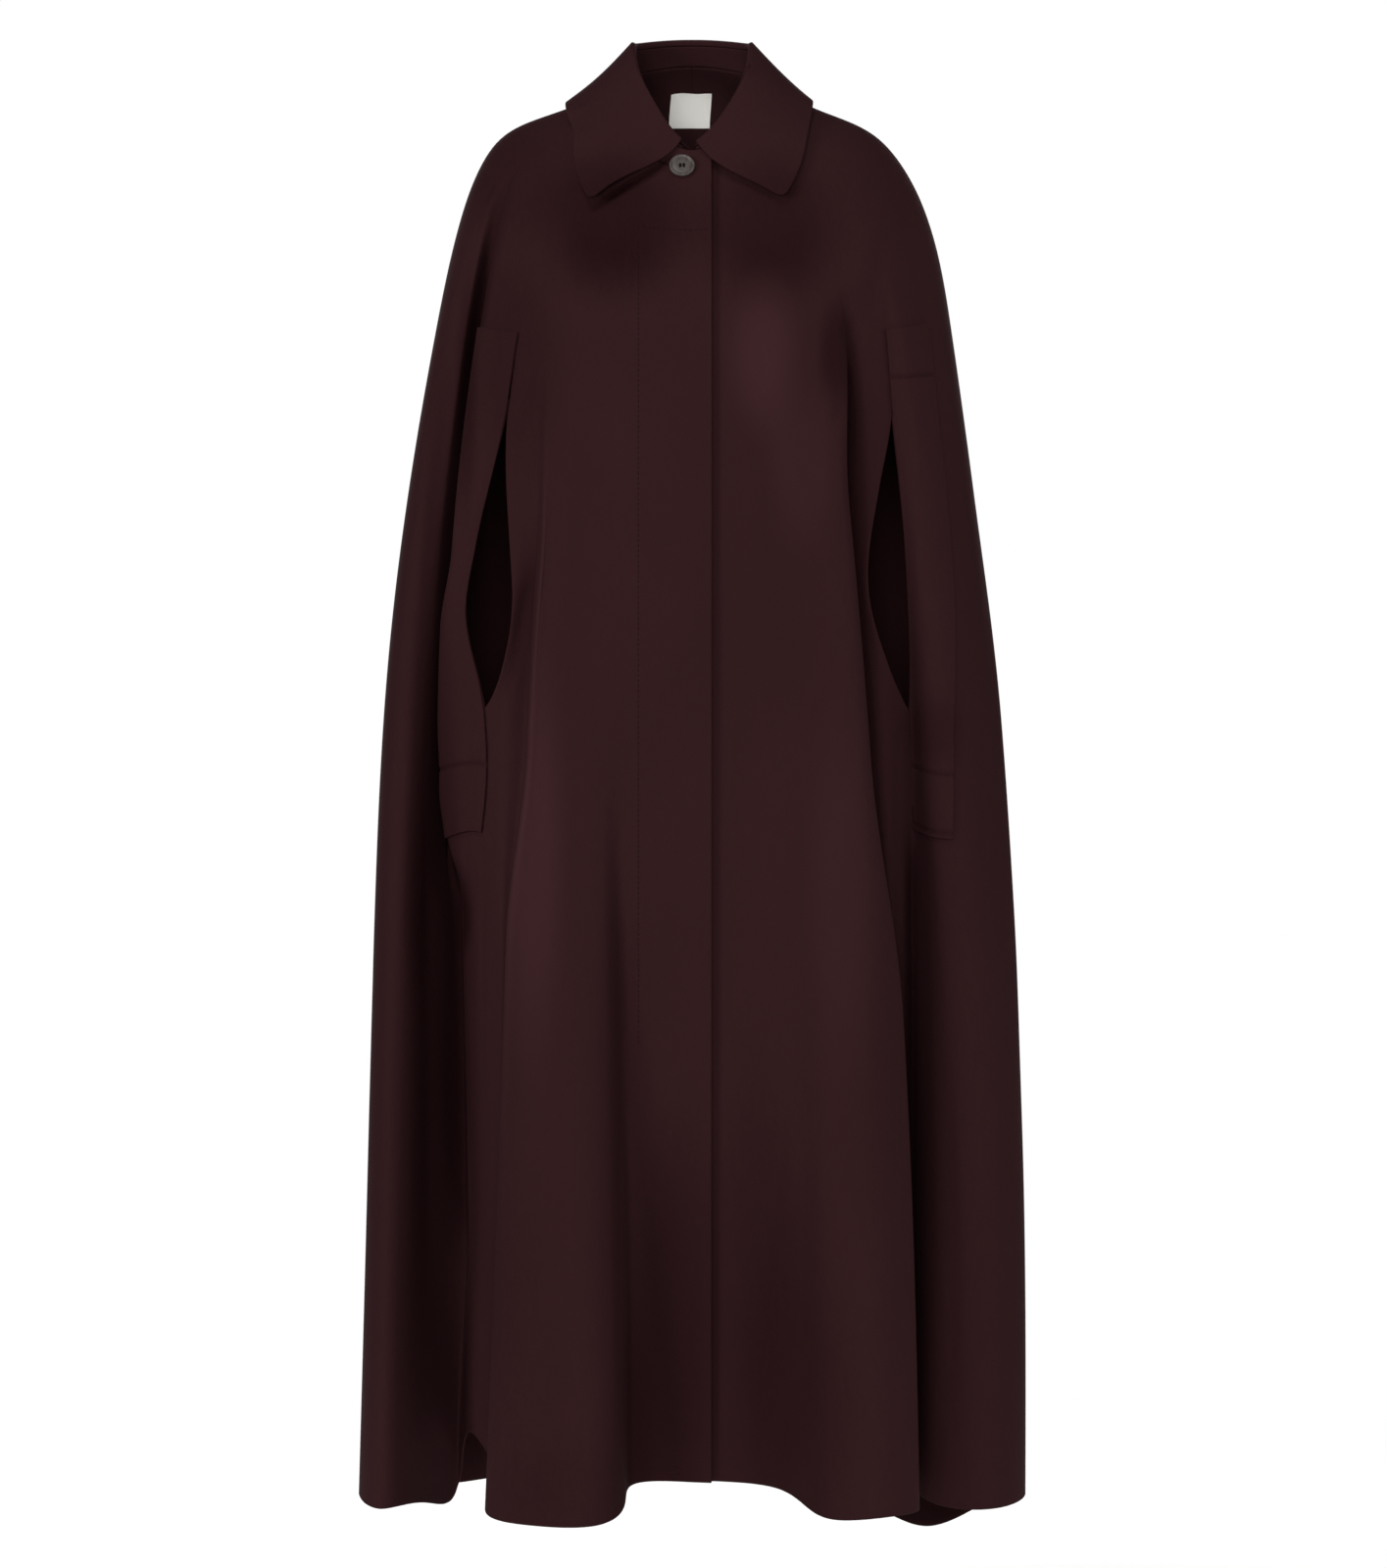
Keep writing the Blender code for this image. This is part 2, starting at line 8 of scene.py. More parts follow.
import bpy
import numpy as np
from mathutils import Matrix, Vector


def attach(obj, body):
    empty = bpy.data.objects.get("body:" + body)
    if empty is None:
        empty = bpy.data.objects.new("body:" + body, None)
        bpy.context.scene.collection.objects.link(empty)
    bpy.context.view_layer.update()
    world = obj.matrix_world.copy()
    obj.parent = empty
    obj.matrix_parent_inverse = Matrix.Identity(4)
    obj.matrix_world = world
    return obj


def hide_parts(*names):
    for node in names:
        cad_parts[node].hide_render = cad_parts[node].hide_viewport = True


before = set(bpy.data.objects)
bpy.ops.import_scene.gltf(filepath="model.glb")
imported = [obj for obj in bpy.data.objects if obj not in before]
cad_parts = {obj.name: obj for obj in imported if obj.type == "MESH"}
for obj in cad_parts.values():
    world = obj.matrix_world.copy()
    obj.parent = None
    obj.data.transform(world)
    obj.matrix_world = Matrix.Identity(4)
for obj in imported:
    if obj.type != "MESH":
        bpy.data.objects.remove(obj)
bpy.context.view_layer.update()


# The two fronts.
# Each is one flared panel of double-faced wool coating from the neck seam to the hem, slashed for the arm.
# The wearer's right one laps over the left one and hides its buttons. All edges are turned in and sewn shut.

CLOTH = 0.0024           # thickness of the wool coating
SEAM_LAP = 0.0006        # how far each panel runs into its neighbour at a seam, so that no light gets in
EDGE_ROUND = 0.0010      # rounding of a turned edge
EDGE_MOST = 0.42         # largest share of a wall's thickness that this rounding takes
EDGE_SEGMENTS = 2
EDGE_ANGLE = 50          # degrees past which an edge of the wall is a turned edge
SQUARENESS = 0.04        # how far the plain section is squarer than an ellipse
HEM = 1.3230             # fall from the neck seam

FRONT_EDGE_X = 0.0170    # edge of the right front, which laps over
UNDER_EDGE_X = -0.0360   # edge of the left front, which laps under
UNDER_STEP = 0.0062      # how far the left front lies behind the right one
UNDER_FADE_X = 0.1000    # where that step has faded out

# The arm slits, and the bands that edge them: falls from the neck seam at which they start and end.
BAND_WIDTH = 0.0450
BAND_TOP = 0.2900
SLIT_TOP = {"right": 0.3600, "left": 0.3760}
SLIT_BOTTOM = {"right": 0.6420, "left": 0.6390}
BAND_BOTTOM = {"right": 0.7560, "left": 0.7460}

# The body with no folds: a row for each section from the neck down, with its fall down the cloth from the
# neck seam, its half width, its depth to the front and back, its heights at the front, sides and back, and
# its shift in x.
SECTION_COLUMNS = ("fall", "half_width", "front", "back", "z_front", "z_side", "z_back", "shift")
SECTIONS = {
    "neck seam":     (0.000, 0.0630, 0.0840, 0.060, -0.0560, 0.0220, 0.0380, 0.0000),
    "under collar":  (0.034, 0.0900, 0.0920, 0.080, -0.0700, 0.0000, 0.0220, 0.0000),
    "yoke":          (0.079, 0.1340, 0.1005, 0.098, -0.0880, -0.0185, -0.0040, -0.0020),
    "shoulder":      (0.121, 0.1680, 0.1075, 0.110, -0.1070, -0.0380, -0.0360, -0.0020),
    "shoulder end":  (0.155, 0.1880, 0.1125, 0.117, -0.1270, -0.0660, -0.0740, 0.0000),
    "upper arm":     (0.200, 0.2050, 0.1175, 0.121, -0.1580, -0.1080, -0.1200, 0.0020),
    "chest":         (0.295, 0.2250, 0.1250, 0.124, -0.2320, -0.2000, -0.2100, 0.0015),
    "slit":          (0.410, 0.2430, 0.1300, 0.127, -0.3260, -0.3140, -0.3200, -0.0005),
    "waist":         (0.587, 0.2650, 0.1345, 0.133, -0.4920, -0.4900, -0.4900, -0.0010),
    "hip":           (0.788, 0.2785, 0.1370, 0.141, -0.6900, -0.6900, -0.6900, 0.0010),
    "knee":          (1.048, 0.2880, 0.1370, 0.150, -0.9500, -0.9500, -0.9500, 0.0030),
    "hem":           (HEM, 0.2927, 0.1360, 0.158, -1.2245, -1.2245, -1.2245, 0.0000),
}

# The hem's plan: a row for each crest, edge or valley, clockwise seen from above, from the front.
# bearing is where its line leaves the plain body, drop how much lower the hem hangs there, begins the height
# where it starts to form, and growth the power of the way down by which it deepens.
FOLD_COLUMNS = ("bearing", "hem_x", "hem_y", "drop", "begins", "growth")
FOLDS = {
    "centre front":        (0.0, 0.0050, -0.076, -0.0240, -0.45, 1.2),
    "right fold foot":     (11.0, -0.0530, -0.080, -0.0210, -0.45, 1.2),
    "right fold inner":    (15.0, -0.0570, -0.112, -0.0100, -0.45, 1.2),
    "right crest inner":   (19.5, -0.0760, -0.150, 0.0000, -0.40, 1.2),
    "right crest outer":   (25.0, -0.1350, -0.156, 0.0000, -0.28, 1.1),
    "right fold outer":    (30.5, -0.1760, -0.112, -0.0040, -0.22, 1.0),
    "right fold back":     (32.5, -0.1700, -0.058, -0.0200, -0.22, 1.0),
    "right slit":          (40.0, -0.1840, 0.000, -0.0450, -0.28, 1.1),
    "right welt lip":      (49.0, -0.2020, 0.034, -0.0440, -0.40, 1.1),
    "right valley":        (54.5, -0.2065, 0.054, -0.0080, -0.06, 1.0),
    "right roll wall":     (62.0, -0.2340, 0.000, 0.0050, -0.10, 1.1),
    "right roll crest":    (74.0, -0.2700, -0.042, 0.0040, -0.20, 1.2),
    "right side":          (90.0, -0.2927, 0.012, 0.0000, -0.30, 1.2),
    "right back roll":     (111.0, -0.2640, 0.105, 0.0060, -0.30, 1.2),
    "right back crest":    (126.0, -0.2050, 0.170, 0.0120, -0.30, 1.2),
    "right back valley":   (141.0, -0.1350, 0.112, -0.0050, -0.25, 1.1),
    "back crest right":    (158.0, -0.0750, 0.180, 0.0120, -0.30, 1.2),
    "centre back":         (180.0, 0.0040, 0.150, 0.0080, -0.35, 1.2),
    "back crest left":     (201.0, 0.0800, 0.183, 0.0120, -0.30, 1.2),
    "left back valley":    (219.0, 0.1400, 0.108, 0.0100, -0.25, 1.1),
    "left back crest":     (234.0, 0.2120, 0.165, 0.0520, -0.30, 1.2),
    "left back roll":      (249.0, 0.2670, 0.105, 0.0200, -0.30, 1.2),
    "left side":           (270.0, 0.2927, 0.010, 0.0000, -0.30, 1.2),
    "left roll crest":     (290.0, 0.2520, -0.058, 0.0020, -0.25, 1.2),
    "left roll wall":      (308.0, 0.2030, -0.046, -0.0040, -0.20, 1.1),
    "left slit":           (314.8, 0.1840, 0.010, -0.0200, -0.16, 1.0),
    "left fold back":      (325.8, 0.1750, -0.040, -0.0120, -0.18, 0.8),
    "left fold outer":     (327.0, 0.1945, -0.088, -0.0040, -0.18, 0.9),
    "left crest outer":    (331.5, 0.1640, -0.138, -0.0040, -0.25, 1.1),
    "left crest inner":    (337.0, 0.1130, -0.142, -0.0040, -0.35, 1.2),
    "left fold inner":     (341.0, 0.0930, -0.112, -0.0120, -0.40, 1.2),
    "left fold foot":      (347.0, 0.0740, -0.084, -0.0190, -0.40, 1.2),
}

# The two arm slits: the row of FOLDS that each follows, and how far its edges are drawn aside.
# A higher sag puts the widest place lower, and a fullness below 1 rounds the edge out towards its ends.
SLIT_COLUMNS = ("fold", "front_gape", "front_sag", "side_gape", "side_sag", "fullness")
SLITS = {
    "right": ("right slit", 0.0235, 2.0, 0.015, 1.40, 0.85),
    "left":  ("left slit", 0.0175, 1.25, 0.0045, 1.25, 0.75),
}
BAND_FLARE = {"right": 0.0050, "left": 0.0}    # how far the band's free edge swings forward below the slit

# Where the cloth is swung aside round the body, in degrees, or pushed in, in metres: the two rows of FOLDS
# between which the change is whole, how far along the hem it fades before and after them, the heights at
# which it comes in, is whole from, is whole to and goes out, and its size.
CHANGE_COLUMNS = ("first", "last", "before", "after", "top", "whole_from", "whole_to", "bottom", "size")
SWINGS = {
    "right front fold":
        ("right fold outer", "right fold back", 0.060, 0.034, -0.24, -0.42, -0.57, -0.74, -2.8),
    "right band lip":
        ("right welt lip", "right welt lip", 0.034, 0.024, -0.40, -0.47, -0.60, -0.67, 2.4),
    "right flank":
        ("right welt lip", "right valley", 0.050, 0.055, -0.655, -0.710, -1.00, -1.22, -3.4),
    "left front fold":
        ("left fold back", "left fold outer", 0.026, 0.060, -0.21, -0.36, -0.58, -0.80, 3.0),
}
HOLLOWS = {
    "right valley":
        ("right valley", "right valley", 0.018, 0.045, -0.08, -0.22, -0.85, -1.05, 0.020),
    "right flank":
        ("right welt lip", "right welt lip", 0.030, 0.014, -0.66, -0.74, -1.12, -1.22, 0.006),
    "right fold ridge":
        ("right fold outer", "right fold outer", 0.022, 0.016, -0.28, -0.42, -0.74, -1.00, -0.0045),
    "right fold gap":
        ("right fold back", "right fold back", 0.012, 0.030, -0.36, -0.50, -1.10, -1.22, 0.010),
    "left fold gap":
        ("left fold back", "left fold back", 0.022, 0.030, -0.20, -0.30, -1.02, -1.20, 0.016),
    "left flank line":
        ("left slit", "left slit", 0.018, 0.018, -0.62, -0.70, -0.92, -1.08, 0.008),
}

# The creases: the face that each lies on, three points of its line as (across, z), where
# across is x on the front and back and y on the sides, its half width, and its height, below zero for a
# trough.
CREASES = {
    "right slit fold":     ("front", (-0.134, -0.395), (-0.148, -0.470), (-0.168, -0.545), 0.0110, -0.0036),
    "right roll fall":     ("front", (-0.205, -0.180), (-0.231, -0.480), (-0.232, -0.820), 0.0220, -0.0130),
    "right front hollow":  ("front", (-0.094, -0.300), (-0.083, -0.480), (-0.070, -0.700), 0.0160, -0.0014),
    "right fold shade":    ("front", (-0.066, -0.560), (-0.061, -0.900), (-0.055, -1.240), 0.0110, -0.0060),
    "right chest ridge":   ("front", (-0.108, -0.270), (-0.112, -0.390), (-0.104, -0.560), 0.0100, 0.0011),
    "right lower trough":  ("front", (-0.118, -0.820), (-0.121, -0.960), (-0.112, -1.170), 0.0180, -0.0015),
    "right yoke hollow":   ("front", (-0.130, -0.146), (-0.070, -0.156), (-0.010, -0.146), 0.0480, -0.0018),
    "left yoke hollow":    ("front", (0.018, -0.150), (0.064, -0.158), (0.126, -0.146), 0.0480, -0.0018),
    "left chest swell":    ("front", (0.060, -0.200), (0.067, -0.262), (0.078, -0.360), 0.0280, 0.0026),
    "right chest swell":   ("front", (-0.075, -0.230), (-0.064, -0.330), (-0.052, -0.470), 0.0300, 0.0014),
    "left fold dent":      ("front", (0.134, -0.198), (0.129, -0.236), (0.123, -0.300), 0.0110, -0.0090),
    "left front hollow":   ("front", (0.052, -0.480), (0.050, -0.640), (0.043, -0.870), 0.0200, -0.0018),
    "left front ridge":    ("front", (0.098, -0.420), (0.104, -0.610), (0.112, -0.880), 0.0220, 0.0018),
    "left fold shade":     ("front", (0.073, -0.860), (0.078, -1.030), (0.082, -1.230), 0.0160, -0.0026),
    "left lower trough":   ("front", (0.030, -0.900), (0.036, -1.040), (0.033, -1.220), 0.0170, -0.0022),
    "centre lower swell":  ("front", (-0.022, -0.780), (-0.019, -0.960), (-0.024, -1.200), 0.0200, 0.0014),
    "under right leaf":    ("front", (-0.092, -0.112), (-0.046, -0.084), (-0.004, -0.056), 0.0070, -0.0060),
    "right shoulder tuck": ("front", (-0.183, -0.101), (-0.176, -0.092), (-0.168, -0.081), 0.0045, -0.0016),
    "right arm wrinkle":   ("front", (-0.171, -0.150), (-0.160, -0.182), (-0.152, -0.235), 0.0110, -0.0016),
    "left arm wrinkle":    ("front", (0.166, -0.120), (0.157, -0.160), (0.149, -0.215), 0.0140, -0.0014),
    "right roll ridge":    ("front", (-0.262, -0.480), (-0.268, -0.700), (-0.263, -0.980), 0.0090, 0.0010),
    "left roll ridge":     ("front", (0.236, -0.560), (0.239, -0.760), (0.246, -1.080), 0.0120, 0.0013),
    "left roll trough":    ("front", (0.218, -0.820), (0.224, -1.000), (0.221, -1.190), 0.0100, -0.0014),
    "right side trough":   ("right", (0.028, -0.190), (0.044, -0.480), (0.036, -0.860), 0.0180, -0.0054),
    "right side ridge":    ("right", (0.066, -0.420), (0.072, -0.760), (0.064, -1.160), 0.0150, 0.0040),
    "right side lower":    ("right", (-0.006, -0.740), (0.004, -0.950), (-0.002, -1.190), 0.0140, -0.0040),
    "left side trough":    ("left", (0.034, -0.230), (0.026, -0.560), (0.040, -0.980), 0.0170, -0.0050),
    "left side ridge":     ("left", (-0.004, -0.350), (-0.010, -0.620), (-0.006, -0.900), 0.0220, 0.0024),
    "left side lower":     ("left", (0.072, -0.640), (0.066, -0.930), (0.078, -1.180), 0.0150, -0.0043),
    "back yoke hollow":    ("back", (-0.098, -0.128), (-0.004, -0.142), (0.092, -0.131), 0.0440, -0.0018),
    "back right long":     ("back", (-0.062, -0.250), (-0.070, -0.620), (-0.064, -1.120), 0.0170, -0.0047),
    "back left long":      ("back", (0.044, -0.330), (0.052, -0.700), (0.060, -1.180), 0.0190, -0.0050),
    "back centre swell":   ("back", (0.008, -0.420), (0.014, -0.700), (0.010, -1.040), 0.0160, 0.0032),
    "back right ridge":    ("back", (-0.118, -0.360), (-0.128, -0.640), (-0.122, -0.930), 0.0150, 0.0040),
    "back left ridge":     ("back", (0.112, -0.300), (0.121, -0.540), (0.116, -0.860), 0.0150, 0.0036),
    "back right blade":    ("back", (-0.150, -0.092), (-0.124, -0.150), (-0.108, -0.236), 0.0160, -0.0040),
    "back left blade":     ("back", (0.158, -0.104), (0.134, -0.170), (0.121, -0.262), 0.0140, -0.0036),
    "back right lower":    ("back", (-0.172, -0.780), (-0.178, -0.960), (-0.171, -1.190), 0.0130, -0.0036),
    "back left lower":     ("back", (0.170, -0.700), (0.178, -0.900), (0.172, -1.150), 0.0140, -0.0043),
}

# Each face of the body: which axis runs across it, 0 for x and 1 for y, and the way that it faces.
FACES = {
    "front": (0, (0, -1, 0)),
    "back":  (0, (0, 1, 0)),
    "right": (1, (-1, 0, 0)),
    "left":  (1, (1, 0, 0)),
}
CREASE_FADE = 0.35       # share of a crease's length in which it rises at each end
FACING = (0.15, 0.55)    # how squarely the cloth faces a crease's side where it starts and is whole
SHADE_PATCH_EDGE = 0.03       # distance from the body's middle past which a patch on one face is whole
SHADE_PATCH_SOFT = 0.75       # share of a patch's reach in which it fades
CREASE_SHADE_PER_METRE = 36       # how fast the painted light and shade change with the height of a crease
CREASE_SHADE_RANGE = (-0.22, 0.18)    # the most that it changes, in a trough and on a ridge

# How finely a front is divided: rows above, beside and below the slit, and columns before, under and after
# the band.
FRONT_ROWS = (70, 54, 126)
FRONT_COLUMNS = (104, 12, 56)
CLOSE_TO_BAND = 1.25     # above 1 crowds the last columns towards the band, where the valley is

# Width and length of the cloth that each front is cut from, and the front's own area, which is flared.
FRONT_CUTS = {
    "right": ((0.66, 1.33), 0.538),
    "left":  ((0.60, 1.33), 0.525),
}

# Patches of painted light and shade, partly also the nap's own lighter and darker brushing: the face, the
# middle of the patch as (across, z), its half width and half height, and its tone, below zero for darker.
NAP_AND_SHADE_PATCHES = {
    "right yoke":       ("front", (-0.064, -0.122), (0.090, 0.084), -0.30),
    "left yoke":        ("front", (0.064, -0.126), (0.084, 0.084), -0.23),
    "right shoulder":   ("front", (-0.150, -0.080), (0.070, 0.075), -0.14),
    "left shoulder":    ("front", (0.165, -0.090), (0.060, 0.075), -0.04),
    "left chest":       ("front", (0.061, -0.235), (0.040, 0.090), 0.29),
    "left breast":      ("front", (0.094, -0.330), (0.038, 0.095), 0.17),
    "right breast":     ("front", (-0.152, -0.240), (0.058, 0.140), -0.14),
    "right crest":      ("front", (-0.136, -0.660), (0.036, 0.230), 0.26),
    "left crest":       ("front", (0.128, -0.690), (0.040, 0.200), 0.14),
    "right low crest":  ("front", (-0.140, -1.120), (0.060, 0.240), -0.08),
    "centre low":       ("front", (-0.014, -1.060), (0.056, 0.240), -0.18),
    "left low":         ("front", (0.055, -1.000), (0.040, 0.240), -0.10),
    "left low hem":     ("front", (0.090, -1.150), (0.070, 0.260), -0.18),
    "right fold foot":  ("front", (-0.052, -1.190), (0.026, 0.180), -0.16),
    "right low hem":    ("front", (-0.100, -1.200), (0.080, 0.070), -0.06),
    "right wall":       ("front", (-0.223, -0.740), (0.030, 0.440), -0.28),
    "right wall low":   ("front", (-0.216, -1.020), (0.034, 0.320), -0.27),
    "right valley":     ("front", (-0.194, -0.270), (0.014, 0.140), -0.22),
    "right band foot":  ("front", (-0.2045, -0.960), (0.012, 0.380), -0.40),
    "under right band": ("front", (-0.2030, -0.710), (0.018, 0.052), -0.34),
    "left band foot":   ("front", (0.207, -0.554), (0.038, 0.040), -0.12),
    "left dent":        ("front", (0.124, -0.232), (0.022, 0.062), -0.26),
    "back neck":        ("back", (0.000, 0.014), (0.072, 0.044), 0.50),
    "back yoke":        ("back", (-0.010, -0.130), (0.140, 0.090), -0.08),
    "back right":       ("back", (-0.092, -0.480), (0.050, 0.220), 0.12),
    "back left":        ("back", (0.086, -0.620), (0.056, 0.250), 0.10),
    "back left hem":    ("back", (0.208, -1.262), (0.060, 0.034), -0.24),
    "back low":         ("back", (0.010, -1.040), (0.070, 0.200), -0.12),
    "back right arm":   ("back", (-0.172, -0.420), (0.080, 0.300), -0.16),
    "right side":       ("right", (0.050, -0.560), (0.040, 0.260), 0.10),
    "left side":        ("left", (0.036, -0.700), (0.040, 0.280), 0.10),
}

# The wool's darkest and lightest colours: the random nap stays near the middle, and painted light and shade
# take it towards either end.
WOOL_DARK = "#100304"
WOOL_LIGHT = "#301b1d"
WOOL_MIDDLE = (0.44, 0.54)    # the range of the nap, before painted light and shade, between the two
WOOL_SHEEN = "#6b3f44"
WOOL_ROUGHNESS = (0.84, 0.96)
WOOL_SPECULAR = 0.03
WOOL_SHEEN_WEIGHT = 0.05
WOOL_SHEEN_ROUGHNESS = 0.50
NAP_WIDTH_MM = 2.4       # a lock of brushed fibres is about 1 mm wide; drawn coarser, so that it shows
NAP_STRETCH = 0.22       # the nap is brushed downwards, so a lock is longer than it is wide
PATCH_MM = 95            # where the nap has been stroked one way or the other
PATCH_STRETCH = 0.45
NAP_BUMP_MM = 0.5
NAP_BUMP_STRENGTH = 0.35
FLECK_MM = 0.9           # single fibres are about 0.02 mm; drawn coarser, as a grain
MOTTLE_RANGE = (0.30, 0.72)    # what the nap, flecks and patches come to together


def column(table, names, wanted):
    """One named column of a table, as an array."""
    place = names.index(wanted)
    return np.array([row[place] for row in table.values()])


def spline(knots, values, at):
    """Smooth curve through the values at the knots."""
    count = len(knots)
    step = np.diff(knots)
    slope = np.diff(values) / step
    system = np.eye(count)
    right = np.zeros(count)
    for i in range(1, count - 1):
        system[i, i - 1:i + 2] = step[i - 1], 2 * (step[i - 1] + step[i]), step[i]
        right[i] = 6 * (slope[i] - slope[i - 1])
    bend = np.linalg.solve(system, right)
    at = np.asarray(at, float)
    span = np.clip(np.searchsorted(knots, at) - 1, 0, count - 2)
    done = (at - knots[span]) / step[span]
    left = 1 - done
    curve = (left ** 3 - left) * bend[span] + (done ** 3 - done) * bend[span + 1]
    return left * values[span] + done * values[span + 1] + curve * step[span] ** 2 / 6


def rising(knots, values, at):
    """Curve through rising values that never turns back."""
    step = np.diff(knots)
    slope = np.diff(values) / step
    before = 2 * step[1:] + step[:-1]
    after = step[1:] + 2 * step[:-1]
    middle = (before + after) / (before / slope[:-1] + after / slope[1:])
    tangent = np.concatenate([slope[:1], middle, slope[-1:]])
    span = np.clip(np.searchsorted(knots, at) - 1, 0, len(knots) - 2)
    done = (at - knots[span]) / step[span]
    left = 1 - done
    ends = left ** 2 * (1 + 2 * done) * values[span] + done ** 2 * (1 + 2 * left) * values[span + 1]
    return ends + left * done * step[span] * (left * tangent[span] - done * tangent[span + 1])


def eased(x):
    """Soft step from 0 to 1."""
    x = np.clip(x, 0, 1)
    return x * x * (3 - 2 * x)


def unit(vectors):
    """Vectors of length one."""
    return vectors / np.linalg.norm(vectors, axis=-1, keepdims=True)


def hem_distances():
    """Distance along the hem of each row of FOLDS, and the whole way round."""
    x = column(FOLDS, FOLD_COLUMNS, "hem_x")
    y = column(FOLDS, FOLD_COLUMNS, "hem_y")
    chord = np.hypot(np.roll(x, -1) - x, np.roll(y, -1) - y)
    return np.concatenate(([0], np.cumsum(chord)[:-1])), chord.sum()


ALONG, GIRTH = hem_distances()


def fold_at(along, wanted):
    """A column of FOLDS at distances along the hem, which may run past either end."""
    values = column(FOLDS, FOLD_COLUMNS, wanted)
    knots = np.concatenate([ALONG - GIRTH, ALONG, ALONG + GIRTH])
    if wanted == "bearing":
        return rising(knots, np.concatenate([values - 360, values, values + 360]), along)
    values = np.concatenate([values, values, values])
    if wanted in ("begins", "growth"):
        span = np.clip(np.searchsorted(knots, along) - 1, 0, len(knots) - 2)
        way = eased((along - knots[span]) / (knots[span + 1] - knots[span]))
        return values[span] + (values[span + 1] - values[span]) * way
    return spline(knots, values, along)


def along_of(name):
    """Distance along the hem of one row of FOLDS."""
    return ALONG[list(FOLDS).index(name)]


def plain_body(bearing, fall):
    """Points of the body with no folds."""
    angle = np.radians(bearing)
    cos = np.cos(angle)
    knots = column(SECTIONS, SECTION_COLUMNS, "fall")
    row = {}
    for name in SECTION_COLUMNS[1:]:
        row[name] = spline(knots, column(SECTIONS, SECTION_COLUMNS, name), fall)
    full = 1 + SQUARENESS * np.sin(2 * angle) ** 2
    x = row["shift"] - row["half_width"] * np.sin(angle) * full
    y = -np.where(cos > 0, row["front"], row["back"]) * cos * full
    z = row["z_side"] + (np.where(cos > 0, row["z_front"], row["z_back"]) - row["z_side"]) * cos ** 2
    return np.stack([x, y, z], axis=-1)


def change_at(table, along, z):
    """Sum of a table's changes at distances along the hem and heights."""
    total = np.zeros(np.broadcast(along, z).shape)
    for values in table.values():
        row = dict(zip(CHANGE_COLUMNS, values))
        before = eased(1 - (along_of(row["first"]) - along) / row["before"])
        after = eased(1 - (along - along_of(row["last"])) / row["after"])
        down = eased((row["top"] - z) / (row["top"] - row["whole_from"]))
        up = eased((z - row["bottom"]) / (row["whole_to"] - row["bottom"]))
        total += row["size"] * before * after * down * up
    return total


def body(along, fall):
    """Points of the cloth's outer face at distances along the hem and falls from the neck seam."""
    along, fall = np.broadcast_arrays(np.asarray(along, float), np.asarray(fall, float))
    bearing = fold_at(along, "bearing")
    plain = plain_body(bearing, fall)
    plain = plain_body(bearing + change_at(SWINGS, along, plain[..., 2]), fall)
    plain_hem = plain_body(bearing, np.full_like(fall, HEM))
    begins = fold_at(along, "begins")
    drop = np.clip((begins - plain[..., 2]) / (begins - plain_hem[..., 2]), 0, 1)
    growth = drop ** fold_at(along, "growth")
    shift_x = fold_at(along, "hem_x") - plain_hem[..., 0]
    shift_y = fold_at(along, "hem_y") - plain_hem[..., 1]
    shift = np.stack([shift_x, shift_y, -fold_at(along, "drop")], axis=-1)
    return plain + growth[..., None] * shift


def outward(along, fall):
    """Unit normals of the outer face."""
    step = 0.002
    across = body(along + step, fall) - body(along - step, fall)
    down = body(along, np.minimum(fall + step, HEM)) - body(along, np.maximum(fall - step, 0))
    return unit(np.cross(across, down))


def crease_heights(points, normals):
    """How far the creases of each face raise the cloth at points with these normals."""
    heights = np.zeros((*points.shape[:-1], len(FACES)))
    for face, start, middle, end, half_width, rise in CREASES.values():
        axis, out = FACES[face]
        place = points[..., [axis, 2]]
        start, middle, end = np.array(start), np.array(middle), np.array(end)
        chord = end - start
        way = np.clip((place - start) @ chord / (chord @ chord), 0, 1)
        done = way[..., None]
        left = 1 - done
        line = start * left * (left - done) + middle * 4 * done * left + end * done * (done - left)
        apart = np.clip(np.linalg.norm(place - line, axis=-1) / half_width, 0, 1)
        fade = eased(way / CREASE_FADE) * eased((1 - way) / CREASE_FADE)
        facing = eased((normals @ np.array(out) - FACING[0]) / (FACING[1] - FACING[0]))
        heights[..., list(FACES).index(face)] += rise * (1 + np.cos(math.pi * apart)) / 2 * fade * facing
    return heights


def draped(along, fall):
    """Points of the creased outer face, and its unit normals before it was creased.

    A crease moves the cloth straight out of or into its face, so that a deep one never crosses itself.
    """
    points = body(along, fall)
    normals = outward(along, fall)
    outs = np.array([out for axis, out in FACES.values()])
    hollow = change_at(HOLLOWS, along, points[..., 2])[..., None] * (0, 1, 0)
    return points + crease_heights(points, normals) @ outs + hollow, normals


def crease_light_and_shade(along, fall):
    """Worn nap and painted highlight on the ridges, and painted shade in the troughs and hollows."""
    points = body(along, fall)
    heights = crease_heights(points, outward(along, fall)).sum(axis=-1)
    return np.clip((heights - change_at(HOLLOWS, along, points[..., 2])) * CREASE_SHADE_PER_METRE, *CREASE_SHADE_RANGE)


FRONT_REACH = 0.16       # how far along the hem on each side of the centre front a line may lie
FRONT_SAMPLES = 161


def along_at_x(x, fall):
    """Distance along the hem of the front line that keeps to one x, at one fall."""
    near = np.linspace(-FRONT_REACH, FRONT_REACH, FRONT_SAMPLES)
    return np.interp(-x, -body(near, fall)[:, 0], near)


def hem_per_metre(along, fall):
    """Distance along the hem that one metre across the cloth takes at each fall."""
    step = 0.004
    across = body(along + step, fall) - body(along - step, fall)
    return 2 * step / np.linalg.norm(across, axis=-1)


ACROSS_REACH = 0.2       # how far along the hem a width of the cloth may take
ACROSS_SAMPLES = 101


